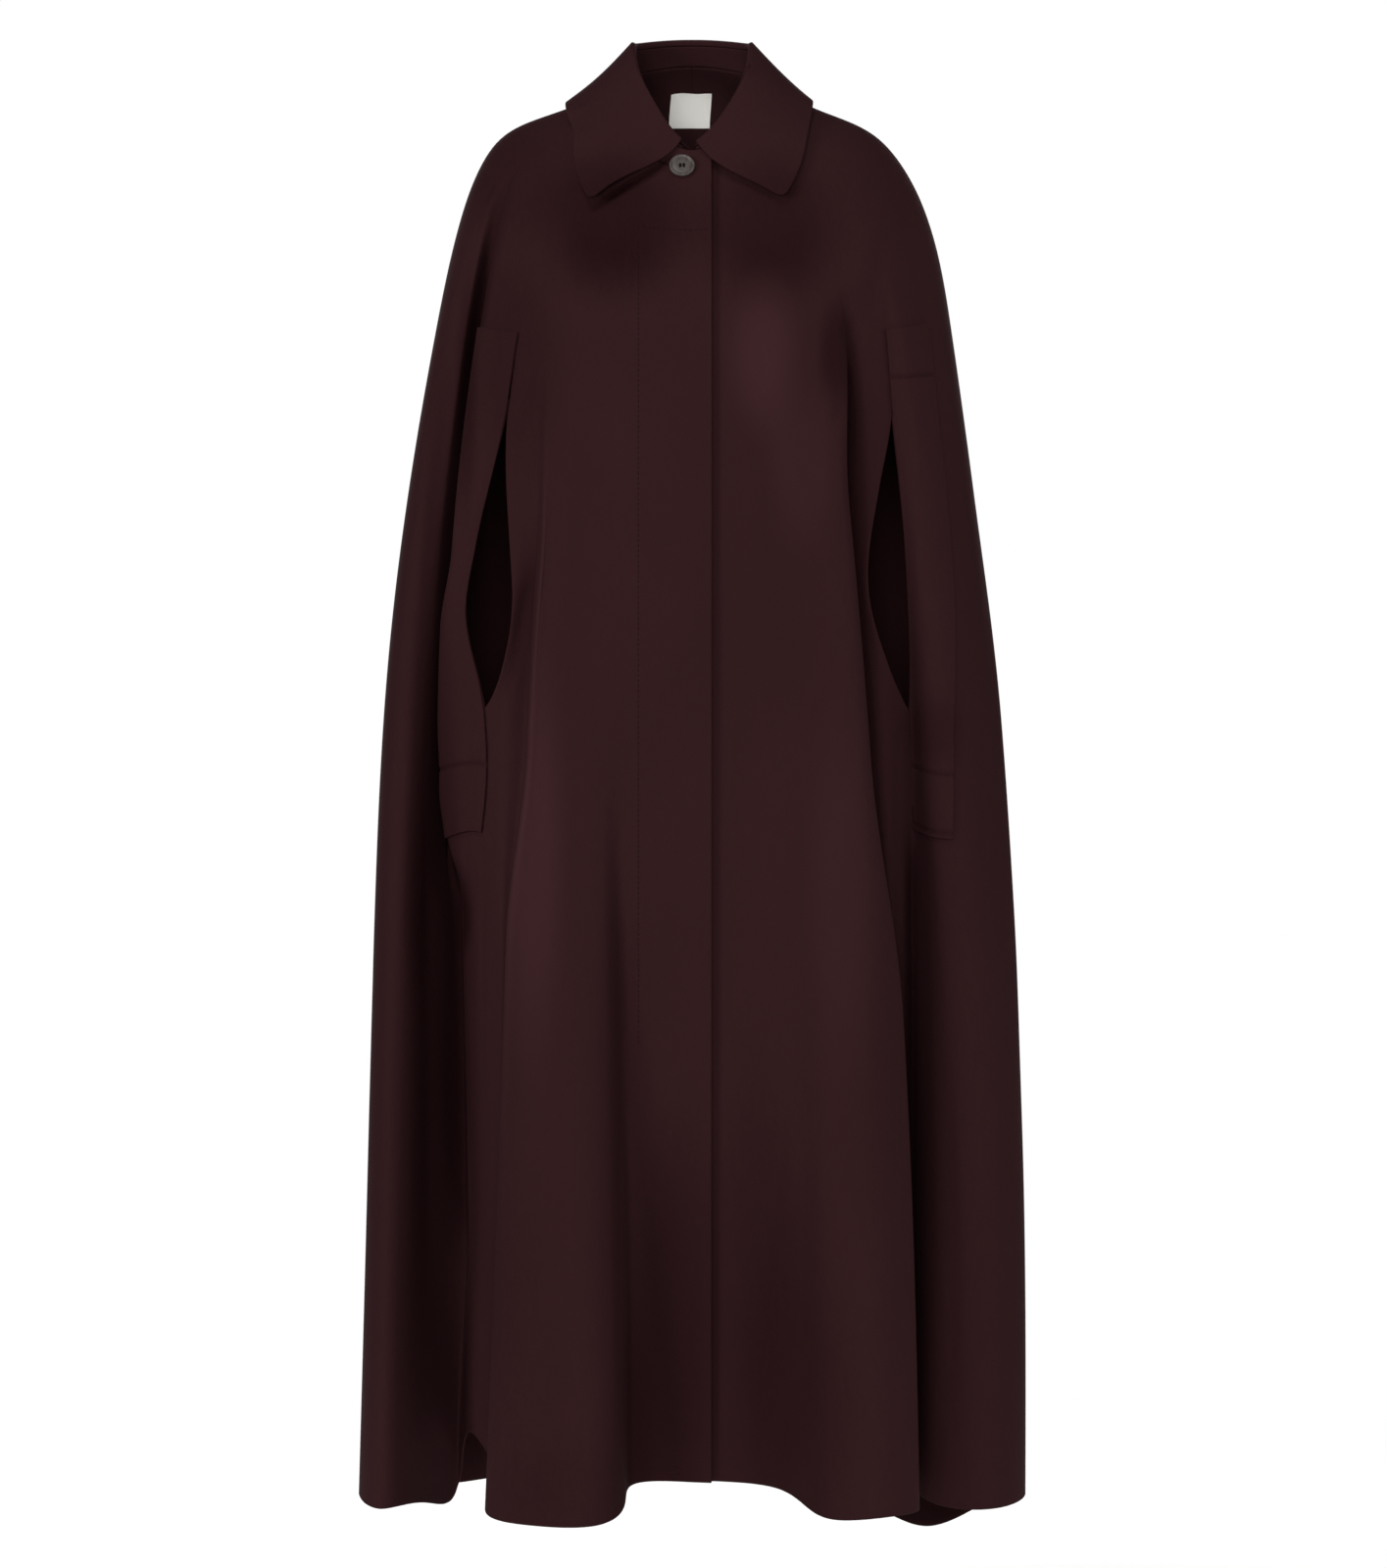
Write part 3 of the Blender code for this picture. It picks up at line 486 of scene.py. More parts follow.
def along_after(start, fall, sign, across):
    """Distances along the hem of points that lie some way across the cloth from a start, at one fall."""
    dense = start + sign * np.linspace(0, ACROSS_REACH, ACROSS_SAMPLES)
    steps = np.linalg.norm(np.diff(body(dense, fall), axis=0), axis=1)
    return np.interp(across, np.concatenate([[0], np.cumsum(steps)]), dense)


def slit_edges(side, falls, band_columns):
    """Distances along the hem of the slit's front edge, and of the band's columns from its other edge."""
    slit = dict(zip(SLIT_COLUMNS, SLITS[side]))
    line = along_of(slit["fold"])
    share = np.clip((falls - SLIT_TOP[side]) / (SLIT_BOTTOM[side] - SLIT_TOP[side]), 0, 1)
    below = np.clip((falls - SLIT_BOTTOM[side]) / (BAND_BOTTOM[side] - SLIT_BOTTOM[side]), 0, 1)
    flare = BAND_FLARE[side] * np.sin(math.pi * below)
    front_gape = slit["front_gape"] * np.sin(math.pi * share ** slit["front_sag"]).clip(0) ** slit["fullness"]
    side_gape = slit["side_gape"] * np.sin(math.pi * share ** slit["side_sag"]).clip(0)
    sign = 1 if side == "right" else -1
    per_metre = sign * hem_per_metre(line, falls)
    front = line - (front_gape + flare) * per_metre
    outer = line + (side_gape - flare) * per_metre
    across = np.linspace(0, BAND_WIDTH, band_columns + 1)
    band_falls = np.clip(falls, BAND_TOP, BAND_BOTTOM[side])
    band = [along_after(start, fall, sign, across) for start, fall in zip(outer, band_falls)]
    return front, np.stack(band)


def lap_under(points, normals):
    """The left front stepped back where the right one laps over it."""
    share = eased((UNDER_FADE_X - points[..., 0]) / (UNDER_FADE_X - FRONT_EDGE_X))
    share = np.where(points[..., 1] < 0, share, 0)
    return points - normals * (UNDER_STEP * share)[..., None]


def nap_and_shade_tone(points):
    """Painted light and shade at points, partly also the nap's own lighter and darker brushing."""
    tone = np.zeros(points.shape[:-1])
    for face, middle, reach, change in NAP_AND_SHADE_PATCHES.values():
        axis, out = FACES[face]
        apart = np.linalg.norm((points[..., [axis, 2]] - middle) / reach, axis=-1)
        on_side = eased(points @ np.array(out) / SHADE_PATCH_EDGE)
        tone += change * eased((1 - apart) / SHADE_PATCH_SOFT) * on_side
    return tone


def spaced(breaks, counts):
    """Values from the first break to the last, with a count of steps between each two."""
    runs = [np.linspace(a, b, n, endpoint=False) for a, b, n in zip(breaks, breaks[1:], counts)]
    return np.concatenate(runs + [breaks[-1:]])


def cloth_piece(name, points, thickness, material, light_and_shade=0.0, cut=None):
    """Open grid of outer points made into a wall with rounded edges.

    The tone that follows the material is painted light and shade at the points, besides that of the patches.
    cut opens the grid along one column between two rows: it is (column, first row, last row, points of the
    cut's other edge).
    """
    rows, columns = points.shape[:2]
    verts = [tuple(point) for point in points.reshape(-1, 3)]
    index = np.arange(rows * columns).reshape(rows, columns)
    right_index = index.copy()
    if cut:
        at, first, last, other = cut
        for row in range(first + 1, last):
            right_index[row, at] = len(verts)
            verts.append(tuple(other[row]))
    faces = []
    for row in range(rows - 1):
        for col in range(columns - 1):
            left = right_index if cut and col == cut[0] else index
            faces.append((left[row, col], index[row, col + 1], index[row + 1, col + 1], left[row + 1, col]))
    mesh = bpy.data.meshes.new(name)
    mesh.from_pydata(verts, [], [tuple(int(i) for i in face) for face in faces])
    mesh.shade_smooth()
    mesh.materials.append(material)
    # Painted light and shade from the patches and creases, with the nap's own brushing, go into this
    # attribute.
    tone = nap_and_shade_tone(np.array(verts))
    tone[:rows * columns] += np.broadcast_to(light_and_shade, (rows, columns)).ravel()
    painted_light_and_nap = mesh.attributes.new("painted_light_and_nap", "FLOAT", "POINT")
    painted_light_and_nap.data.foreach_set("value", tone)
    piece = bpy.data.objects.new(name, mesh)
    bpy.context.scene.collection.objects.link(piece)
    wall = piece.modifiers.new("wall", "SOLIDIFY")
    wall.thickness = thickness
    wall.offset = -1
    turned = piece.modifiers.new("turned edge", "BEVEL")
    turned.width = min(EDGE_ROUND, thickness * EDGE_MOST)
    turned.segments = EDGE_SEGMENTS
    turned.limit_method = "ANGLE"
    turned.angle_limit = math.radians(EDGE_ANGLE)
    turned.use_clamp_overlap = False
    return piece


def linear(colour):
    """An sRGB hex colour as linear red, green, blue and alpha."""
    parts = [int(colour[i:i + 2], 16) / 255 for i in (1, 3, 5)]
    return *(c / 12.92 if c <= 0.04045 else ((c + 0.055) / 1.055) ** 2.4 for c in parts), 1


def add_node(material, kind, values=None, links=None, **settings):
    """A node with its settings, its sockets' values and the links into it."""
    node = material.node_tree.nodes.new(kind)
    for name, value in settings.items():
        setattr(node, name, value)
    for name, value in (values or {}).items():
        node.inputs[name].default_value = value
    for name, output in (links or {}).items():
        material.node_tree.links.new(output, node.inputs[name])
    return node


def new_material(name):
    """An empty node material, and its shader."""
    material = bpy.data.materials.new(name)
    material.use_nodes = True
    return material, material.node_tree.nodes["Principled BSDF"]


def cycles_per_metre(size_mm):
    """Scale of a noise whose features are about this large."""
    return 1000 / (2 * size_mm)


# Brushed double-faced wool: its nap hides the weave, drinks the light and gives it back only as a soft bloom
# where the fibres stand on edge. Strokes of the brush leave it lighter and darker in long patches, and
# painted light and shade lie over them.
wool, shader = new_material("brushed double-faced wool")
place = add_node(wool, "ShaderNodeTexCoord").outputs["Object"]
combed = add_node(wool, "ShaderNodeMapping", {"Scale": (1, 1, NAP_STRETCH)}, {"Vector": place})
nap = add_node(
    wool, "ShaderNodeTexNoise", {"Scale": cycles_per_metre(NAP_WIDTH_MM), "Detail": 3, "Roughness": 0.6},
    {"Vector": combed.outputs["Vector"]})
fleck = add_node(
    wool, "ShaderNodeTexNoise", {"Scale": cycles_per_metre(FLECK_MM), "Detail": 1}, {"Vector": place})
drawn_down = add_node(wool, "ShaderNodeMapping", {"Scale": (1, 1, PATCH_STRETCH)}, {"Vector": place})
patch = add_node(
    wool, "ShaderNodeTexNoise", {"Scale": cycles_per_metre(PATCH_MM), "Detail": 2, "Distortion": 0.4},
    {"Vector": drawn_down.outputs["Vector"]})
grain = add_node(
    wool, "ShaderNodeMath", {}, {0: nap.outputs["Fac"], 1: fleck.outputs["Fac"]}, operation="ADD")
mottled = add_node(
    wool, "ShaderNodeMath", {}, {0: grain.outputs[0], 1: patch.outputs["Fac"]}, operation="MULTIPLY")
shade = add_node(
    wool, "ShaderNodeMapRange",
    {"From Min": MOTTLE_RANGE[0], "From Max": MOTTLE_RANGE[1],
     "To Min": WOOL_MIDDLE[0], "To Max": WOOL_MIDDLE[1]},
    {"Value": mottled.outputs[0]})
# Painted light and shade from the cloth pieces, with the nap's own brushing, lighten and darken the dye.
light_and_shade_attribute = add_node(wool, "ShaderNodeAttribute", attribute_name="painted_light_and_nap")
tone = add_node(
    wool, "ShaderNodeMath", {}, {0: shade.outputs[0], 1: light_and_shade_attribute.outputs["Fac"]}, operation="ADD")
dye_and_painted_light = add_node(
    wool, "ShaderNodeMix", {"A": linear(WOOL_DARK), "B": linear(WOOL_LIGHT)}, {"Factor": tone.outputs[0]},
    data_type="RGBA")
dull = add_node(
    wool, "ShaderNodeMapRange", {"To Min": WOOL_ROUGHNESS[0], "To Max": WOOL_ROUGHNESS[1]},
    {"Value": nap.outputs["Fac"]})
bump = add_node(
    wool, "ShaderNodeBump", {"Strength": NAP_BUMP_STRENGTH, "Distance": NAP_BUMP_MM / 1000},
    {"Height": grain.outputs[0]})
wool.node_tree.links.new(dye_and_painted_light.outputs["Result"], shader.inputs["Base Color"])
wool.node_tree.links.new(dull.outputs[0], shader.inputs["Roughness"])
wool.node_tree.links.new(bump.outputs["Normal"], shader.inputs["Normal"])
shader.inputs["Specular IOR Level"].default_value = WOOL_SPECULAR
shader.inputs["Sheen Weight"].default_value = WOOL_SHEEN_WEIGHT
shader.inputs["Sheen Roughness"].default_value = WOOL_SHEEN_ROUGHNESS
shader.inputs["Sheen Tint"].default_value = linear(WOOL_SHEEN)


def make_front(name, side):
    """A front from its centre edge to its side seam, cut through by the arm slit."""
    falls = spaced((0, SLIT_TOP[side], SLIT_BOTTOM[side], HEM), FRONT_ROWS)
    cut = FRONT_ROWS[0], FRONT_ROWS[0] + FRONT_ROWS[1]
    if side == "right":
        edge = np.array([along_at_x(FRONT_EDGE_X, fall) for fall in falls])
        seam = np.full_like(falls, along_of("right side") + SEAM_LAP)
    else:
        edge = np.array([along_at_x(UNDER_EDGE_X, fall) for fall in falls]) + GIRTH
        seam = np.full_like(falls, along_of("left side") - SEAM_LAP)
    before, under, after = FRONT_COLUMNS
    slit_front, band = slit_edges(side, falls, under)
    inner = edge[:, None] + (slit_front - edge)[:, None] * np.linspace(0, 1, before + 1)
    past_band = np.linspace(0, 1, after + 1)[1:] ** CLOSE_TO_BAND
    outer = band[:, -1:] + (seam[:, None] - band[:, -1:]) * past_band
    outer = np.concatenate([band, outer], axis=1)
    inner_points, inner_normals = draped(inner, falls[:, None])
    outer_points = draped(outer, falls[:, None])[0]
    along = np.concatenate([inner, outer[:, 1:]], axis=1)
    # Painted highlight on the creases' ridges and painted shade in their troughs.
    light_and_shade = crease_light_and_shade(along, falls[:, None])
    if side == "right":
        points = np.concatenate([inner_points, outer_points[:, 1:]], axis=1)
        return cloth_piece(name, points, CLOTH, wool, light_and_shade, (before, *cut, outer_points[:, 0]))
    inner_points = lap_under(inner_points, inner_normals)
    points = np.concatenate([outer_points[:, ::-1], inner_points[:, -2::-1]], axis=1)
    return cloth_piece(name, points, CLOTH, wool, light_and_shade[:, ::-1], (under + after, *cut, inner_points[:, -1]))


for side, (cut_size, cut_area) in FRONT_CUTS.items():
    front = make_front(f"{side}_front_panel", side)
    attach(front, "root")
    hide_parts(f"front_{side}")


# The two arm bands.
# A folded strip of the same wool edges the outer side of each arm slit and runs on above and below it.
# It is laid on the front and stitched down across both ends, where the slit would tear first.

BAND_THICKNESS = 0.0022  # of the folded strip
BAND_GAP = 0.0005        # between the strip and the front
BAND_ROWS = 230
BAND_COLUMNS = 22
GROOVE_HALF_WIDTH = 0.0030
GROOVE_DEPTH = 0.0014
GROOVE_SHADE_PER_METRE = 90    # painted shade where the stitches draw the band in

# Falls at which each band is stitched down across its width.
BAND_LINES = {"right": (0.694,), "left": (0.337, 0.690, 0.741)}


def make_band(name, side):
    """A band along the slit's outer edge, on the front's own points, with its stitched lines drawn in."""
    falls = np.linspace(BAND_TOP, BAND_BOTTOM[side], BAND_ROWS + 1)
    columns = slit_edges(side, falls, BAND_COLUMNS)[1]
    if side == "left":
        columns = columns[:, ::-1]
    points, normals = draped(columns, falls[:, None])
    drawn_in = np.zeros_like(falls)
    for line in BAND_LINES[side]:
        apart = np.clip((falls - line) / GROOVE_HALF_WIDTH, -1, 1)
        drawn_in += GROOVE_DEPTH * (1 + np.cos(math.pi * apart)) / 2
    height = BAND_GAP + BAND_THICKNESS - drawn_in
    # Painted shade along the stitched grooves.
    light_and_shade = -drawn_in[:, None] * GROOVE_SHADE_PER_METRE
    points = points + normals * height[:, None, None]
    # The wall is thinner than the strip by half a groove, so that a groove doesn't press through the front.
    return cloth_piece(name, points, BAND_THICKNESS - GROOVE_DEPTH / 2, wool, light_and_shade)


for side in BAND_LINES:
    band = make_band(f"{side}_arm_band", side)
    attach(band, "root")
    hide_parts(f"arm_welt_{side}")


# The two backs.
# Two flared panels of the same wool meet in a seam down the middle of the back and in the side seams.
# Each seam is pressed open and felled by hand, so only a fine line shows.

BACK_ROWS = 266
BACK_COLUMNS = 84

# Width and length of the cloth that each back is cut from, and the back's own area, which is flared.
BACK_CUTS = {
    "right": ((0.47, 1.33), 0.44),
    "left":  ((0.48, 1.37), 0.443),
}


def make_back(name, seam):
    """A back from the centre-back seam to its side seam."""
    falls = np.linspace(0, HEM, BACK_ROWS + 1)[:, None]
    ends = sorted((along_of("centre back"), along_of(seam)))
    along = np.linspace(ends[0] - SEAM_LAP, ends[1] + SEAM_LAP, BACK_COLUMNS + 1)
    # The creases' painted highlight and painted shade go on the back too.
    return cloth_piece(name, draped(along, falls)[0], CLOTH, wool, crease_light_and_shade(along, falls))


for side, (cut_size, cut_area) in BACK_CUTS.items():
    back = make_back(f"{side}_back_panel", f"{side} side")
    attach(back, "root")
    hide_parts(f"back_{side}")


# The neck label.
# A bare rectangle of woven satin with its ends turned under, sewn inside the back of the neck.

LABEL_WIDTH = 0.0360
LABEL_TOP = 0.0400
LABEL_BOTTOM = 0.0890
LABEL_THICKNESS = 0.0006
LABEL_ROWS = 36
LABEL_COLUMNS = 28
LABEL_BULGE = 0.0012     # how far its middle stands off the cloth
LABEL_WAVE = 0.0007      # how far its top edge waves up and down
LABEL_WAVE_TURN = 4.2    # radians of that wave from the middle to a side
LABEL_WAVE_START = 0.6   # where in the wave the middle is, in radians
SEAM_GAP = 0.0003        # between the body and what is sewn on it

# The satin's white, and the slightly lighter white of its bands of painted sheen.
SATIN_WARM = "#fbf8f1"
SATIN_COOL = "#fffdf6"
SATIN_THREAD_MM = 0.6    # a satin's threads are about 0.1 mm; drawn coarser, so that its bands show
SATIN_SHEEN_BAND_MM = 11
SATIN_FLOAT_STRETCH = 0.06    # a thread runs over many others, so its float is long and narrow
SATIN_BUMP_MM = 0.15
SATIN_BUMP_STRENGTH = 0.25
SATIN_ROUGHNESS = 0.42
SATIN_SHEEN_WEIGHT = 0.1

# Woven satin: long floats of smooth thread lie side by side, and soft bands of painted sheen run across its
# colour.
satin, shader = new_material("woven satin")
place = add_node(satin, "ShaderNodeTexCoord").outputs["Object"]
floats = add_node(satin, "ShaderNodeMapping", {"Scale": (1, 0, SATIN_FLOAT_STRETCH)}, {"Vector": place})
thread = add_node(
    satin, "ShaderNodeTexNoise", {"Scale": cycles_per_metre(SATIN_THREAD_MM), "Detail": 1},
    {"Vector": floats.outputs["Vector"]})
painted_sheen_band = add_node(
    satin, "ShaderNodeTexNoise", {"Scale": cycles_per_metre(SATIN_SHEEN_BAND_MM), "Detail": 1},
    {"Vector": floats.outputs["Vector"]})
satin_and_painted_sheen = add_node(
    satin, "ShaderNodeMix", {"A": linear(SATIN_WARM), "B": linear(SATIN_COOL)},
    {"Factor": painted_sheen_band.outputs["Fac"]}, data_type="RGBA")
bump = add_node(
    satin, "ShaderNodeBump", {"Strength": SATIN_BUMP_STRENGTH, "Distance": SATIN_BUMP_MM / 1000},
    {"Height": thread.outputs["Fac"]})
satin.node_tree.links.new(satin_and_painted_sheen.outputs["Result"], shader.inputs["Base Color"])
satin.node_tree.links.new(bump.outputs["Normal"], shader.inputs["Normal"])
shader.inputs["Roughness"].default_value = SATIN_ROUGHNESS
shader.inputs["Sheen Weight"].default_value = SATIN_SHEEN_WEIGHT

down = np.linspace(0, 1, LABEL_ROWS + 1)[:, None]
aside = np.linspace(-1, 1, LABEL_COLUMNS + 1)
falls = LABEL_TOP + (LABEL_BOTTOM - LABEL_TOP) * down
per_metre = hem_per_metre(along_of("centre back"), falls)
along = along_of("centre back") + per_metre * aside * LABEL_WIDTH / 2
wave = LABEL_WAVE * np.sin(aside * LABEL_WAVE_TURN + LABEL_WAVE_START) * (1 - down)
points, normals = draped(along, falls + wave)
bulge = np.sin(math.pi * down) * (1 - aside ** 2) * LABEL_BULGE
points = points - normals * (CLOTH + SEAM_GAP + bulge)[..., None]
label = cloth_piece("satin_label", points, LABEL_THICKNESS, satin)
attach(label, "root")
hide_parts("neck_label")


# The collar stand.
# A narrow band of the same wool that rises from the neck seam and carries the leaf at its top edge.

SEAM_STRIP = 0.0015      # the leaf reaches this far down inside the stand's top
STAND_LEAN = -0.50       # lean of the stand towards the neck, for each metre of rise
COLLAR_STATIONS = 260
STAND_ROWS = 10

# The collar: a row for each station from the right front end round the back to the left one, with the bearing
# at which the stand rises, its height, and the bearing and fall of the leaf's edge on the body.
COLLAR_COLUMNS = ("roll_bearing", "stand", "edge_bearing", "edge_fall")
COLLAR = {
    "right end":    (8.0, 0.0050, 26.9, 0.143),
    "right front":  (32.0, 0.0180, 44.0, 0.082),
    "right neck":   (56.0, 0.0215, 61.0, 0.061),
    "right side":   (90.0, 0.0265, 90.0, 0.052),
    "right back":   (135.0, 0.0245, 135.0, 0.048),
    "centre back":  (180.0, 0.0205, 180.0, 0.046),
    "left back":    (225.0, 0.0245, 225.0, 0.046),
    "left side":    (270.0, 0.0265, 270.0, 0.048),
    "left neck":    (304.0, 0.0215, 298.0, 0.058),
    "left front":   (332.0, 0.0170, 317.0, 0.084),
    "left end":     (357.0, 0.0050, 334.6, 0.136),
}

BEARING_MARGIN = 0.2     # how far past each end of the hem a bearing may lie
BEARING_SAMPLES = 2400


def along_at_bearing(bearing):
    """Distance along the hem of a bearing on the plain body."""
    dense = np.linspace(-BEARING_MARGIN, GIRTH + BEARING_MARGIN, BEARING_SAMPLES)
    return np.interp(bearing, fold_at(dense, "bearing"), dense)


def collar_at(wanted, station):
    """A column of COLLAR at stations from 0 to 1."""
    values = column(COLLAR, COLLAR_COLUMNS, wanted)
    return spline(np.linspace(0, 1, len(values)), values, station)


def collar_frame(station):
    """Neck seam, direction in which the stand rises, and direction square to it out of the neck."""
    along = along_at_bearing(collar_at("roll_bearing", station))
    seam = body(along, 0 * along)
    radial = unit(seam * (1, 1, 0))
    rise = unit(radial * STAND_LEAN + (0, 0, 1))
    out = unit(radial - rise * np.sum(radial * rise, axis=-1, keepdims=True))
    return seam, rise, out


stations = np.linspace(0, 1, COLLAR_STATIONS + 1)
seam, rise, out = collar_frame(stations)
height = collar_at("stand", stations) - SEAM_STRIP - 2 * SEAM_GAP
height = np.linspace(1, 0, STAND_ROWS + 1)[:, None] * height + SEAM_GAP
stand = cloth_piece("collar_stand_band", seam + rise * height[..., None], CLOTH, wool)
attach(stand, "root")
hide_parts("collar_stand")


# The collar leaf.
# The turned-down part of the collar: a shaped strip of the same wool with two rounded points. It rolls over
# the stand's top and lies on the shoulders. Its free edges stand a little off the cloth below.

COLLAR_LIFT = 0.0032     # underside of the leaf above the body
ROLL_INSIDE = 0.0010     # radius of the roll's inside, where the leaf turns over
ROLL_END = 50.0          # degrees at which the roll ends and the leaf begins
LEAF_SAG = 0.4           # 0 lets the leaf down evenly from the roll, 1 holds it up until near its edge
ROLL_ROWS = 8
LEAF_ROWS = 40
POINT_RADIUS = 0.008     # rounding of the two collar points
PROBE_STATION = 0.01     # short ways beside and above a point, over which the leaf is measured there
PROBE_WAY = 0.1
FRONT_HANG = 0.0030      # how far the middle of the right front edge hangs below a straight line
FRONT_HANG_REACH = 0.12  # share of the collar's length in which that fades

# Where the leaf stands off: its place as a share of the collar's length and of the way to its edge, the reach
# of the lift along and across in the same shares, and its height.
LIFTS = {
    "right point":         (0.000, 1.00, 0.070, 0.60, 0.0060),
    "right front edge":    (0.000, 0.55, 0.060, 0.60, 0.0062),
    "right shoulder curl": (0.205, 1.00, 0.022, 0.30, 0.0060),
    "right edge wave":     (0.110, 1.00, 0.050, 0.45, 0.0016),
    "right back wave":     (0.340, 1.00, 0.060, 0.50, 0.0020),
    "back wave":           (0.560, 1.00, 0.080, 0.50, 0.0016),
    "left shoulder wave":  (0.760, 1.00, 0.050, 0.40, 0.0018),
    "left front edge":     (1.000, 0.60, 0.060, 0.60, 0.0020),
    "left point":          (1.000, 1.00, 0.060, 0.50, 0.0022),
}


def roll_over(station, degrees):
    """Ways from the neck seam to the leaf's roll, whose turn goes down from 180 degrees inside the neck."""
    rise, out = collar_frame(station)[1:]
    centre = rise * collar_at("stand", station)[..., None] + out * ROLL_INSIDE
    turn = np.radians(degrees)
    return centre + (out * np.cos(turn) + rise * np.sin(turn)) * (CLOTH + ROLL_INSIDE)


def leaf_at(station, way):
    """Points of the leaf's outer face from the roll, at way 0, to its edge, at way 1."""
    above_seam = roll_over(station, ROLL_END)
    start = collar_at("roll_bearing", station)
    along = along_at_bearing(start + (collar_at("edge_bearing", station) - start) * way)
    hang = FRONT_HANG * eased(1 - station / FRONT_HANG_REACH) * np.sin(math.pi * way)
    fall = collar_at("edge_fall", station) * way + hang
    settle = ((1 - LEAF_SAG) * way + LEAF_SAG * way ** 2)[..., None]
    normals = outward(along, fall)
    lift = np.full(station.shape, COLLAR_LIFT + CLOTH)
    for place, far, reach_along, reach_across, height in LIFTS.values():
        apart = np.hypot((station - place) / reach_along, (way - far) / reach_across)
        lift += height * (1 + np.cos(math.pi * np.clip(apart, 0, 1))) / 2
    return body(along, fall) + above_seam * (1 - settle) + normals * lift[..., None] * settle


def rounded_point(station, way):
    """Stations and ways drawn in to an arc at the collar's two points."""
    for end, sign in ((0, 1), (1, -1)):
        tip, next_to_tip, over_tip = leaf_at(
            np.array([end, end + sign * PROBE_STATION, end]), np.array([1, 1, 1 - PROBE_WAY]))
        per_station = np.linalg.norm(next_to_tip - tip) / PROBE_STATION
        per_way = np.linalg.norm(over_tip - tip) / PROBE_WAY
        beside = np.abs(station - end) * per_station / POINT_RADIUS
        above = (1 - way) * per_way / POINT_RADIUS
        near = (beside < 1) & (above < 1)
        square = np.maximum(1 - beside, 1 - above)
        length = np.where(near, np.hypot(1 - beside, 1 - above), 1)
        beside = 1 - (1 - beside) * square / length
        above = 1 - (1 - above) * square / length
        station = np.where(near, end + sign * beside * POINT_RADIUS / per_station, station)
        way = np.where(near, 1 - above * POINT_RADIUS / per_way, way)
    return station, way


leaf = leaf_at(*rounded_point(*np.meshgrid(stations, np.linspace(0, 1, LEAF_ROWS + 1)[1:])))
roll = seam + roll_over(stations, np.linspace(180, ROLL_END, ROLL_ROWS + 1)[:, None, None])
tucked_in = roll[:1] - rise * SEAM_STRIP
collar = cloth_piece("collar_leaf", np.concatenate([tucked_in, roll, leaf]), CLOTH, wool)
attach(collar, "root")
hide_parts("collar_fall")


# The button.
# A round four-hole button turned from a slice of horn, with a rounded rim and a shallow dish. It is sewn to
# the left front and pushed through the right one.

BUTTON_X = -0.0086
BUTTON_FALL = 0.0405
BUTTON_RADIUS = 0.0110
BUTTON_THICKNESS = 0.0036
BUTTON_RIM = 0.0026
BUTTON_DISH = 0.0009
BUTTON_BASE = 0.84       # share of the radius on which its back lies flat
BUTTON_STEPS = 96
BUTTON_MERGE = 0.00001   # points of the turned form that are closer than this are one
RIM_ROUND = (0.42, 0.46)    # shares of the rim's width and of the thickness that its rounding takes
RIM_TURN = (-60, 90)     # degrees at which that rounding starts, at the back, and ends, at the top
RIM_POINTS = 9
EYE_RADIUS = 0.0008      # the four holes for the thread
EYE_PITCH = 0.0030
EYE_SIDES = 24
EYE_ROUND = 0.00025
EYE_EDGE_ANGLE = 60      # degrees past which an edge of a hole is rounded

# The dish from the rim inwards: shares of the rim's width in from the edge, or of the radius out from the
# middle, and shares of the dish's depth down from the top.
DISH_LIP = ((0.75, 0.15), (1.00, 0.62), (1.12, 1.18), (1.30, 1.00))
DISH_FLOOR = ((0.30, 1.10), (0.00, 1.12))

HORN_DARK = "#231e1c"
HORN_LIGHT = "#3e3632"
HORN_ROUGHNESS = (0.40, 0.55)
HORN_SPECULAR = 0.3
HORN_IOR = 1.54
HORN_GRAIN_MM = 1.6
HORN_LAYER_STRETCH = 0.3    # the grain runs on further up and down than across
HORN_GRAIN_RANGE = (0.3, 0.7)

# Turned and tumbled horn: a close, faintly layered grain under a satin polish that takes one small highlight.
horn, shader = new_material("tumbled horn")
place = add_node(horn, "ShaderNodeTexCoord").outputs["Object"]
layers = add_node(horn, "ShaderNodeMapping", {"Scale": (1, HORN_LAYER_STRETCH, 1)}, {"Vector": place})
grain = add_node(
    horn, "ShaderNodeTexNoise", {"Scale": cycles_per_metre(HORN_GRAIN_MM), "Detail": 4, "Distortion": 0.8},
    {"Vector": layers.outputs["Vector"]})
spread = add_node(
    horn, "ShaderNodeMapRange", {"From Min": HORN_GRAIN_RANGE[0], "From Max": HORN_GRAIN_RANGE[1]},
    {"Value": grain.outputs["Fac"]})
layered = add_node(
    horn, "ShaderNodeMix", {"A": linear(HORN_DARK), "B": linear(HORN_LIGHT)}, {"Factor": spread.outputs[0]},
    data_type="RGBA")
polish = add_node(
    horn, "ShaderNodeMapRange", {"To Min": HORN_ROUGHNESS[0], "To Max": HORN_ROUGHNESS[1]},
    {"Value": grain.outputs["Fac"]})
horn.node_tree.links.new(layered.outputs["Result"], shader.inputs["Base Color"])
horn.node_tree.links.new(polish.outputs[0], shader.inputs["Roughness"])
shader.inputs["IOR"].default_value = HORN_IOR
shader.inputs["Specular IOR Level"].default_value = HORN_SPECULAR


def placed(thing, seat, normal):
    """Set an object on a seat with its own +Z along the normal and its +Y as far up as it goes."""
    side = unit(np.cross((0, 0, 1), normal))
    place = np.eye(4)
    place[:3, 0], place[:3, 1], place[:3, 2], place[:3, 3] = side, np.cross(normal, side), normal, seat
    thing.matrix_world = Matrix(place.tolist())


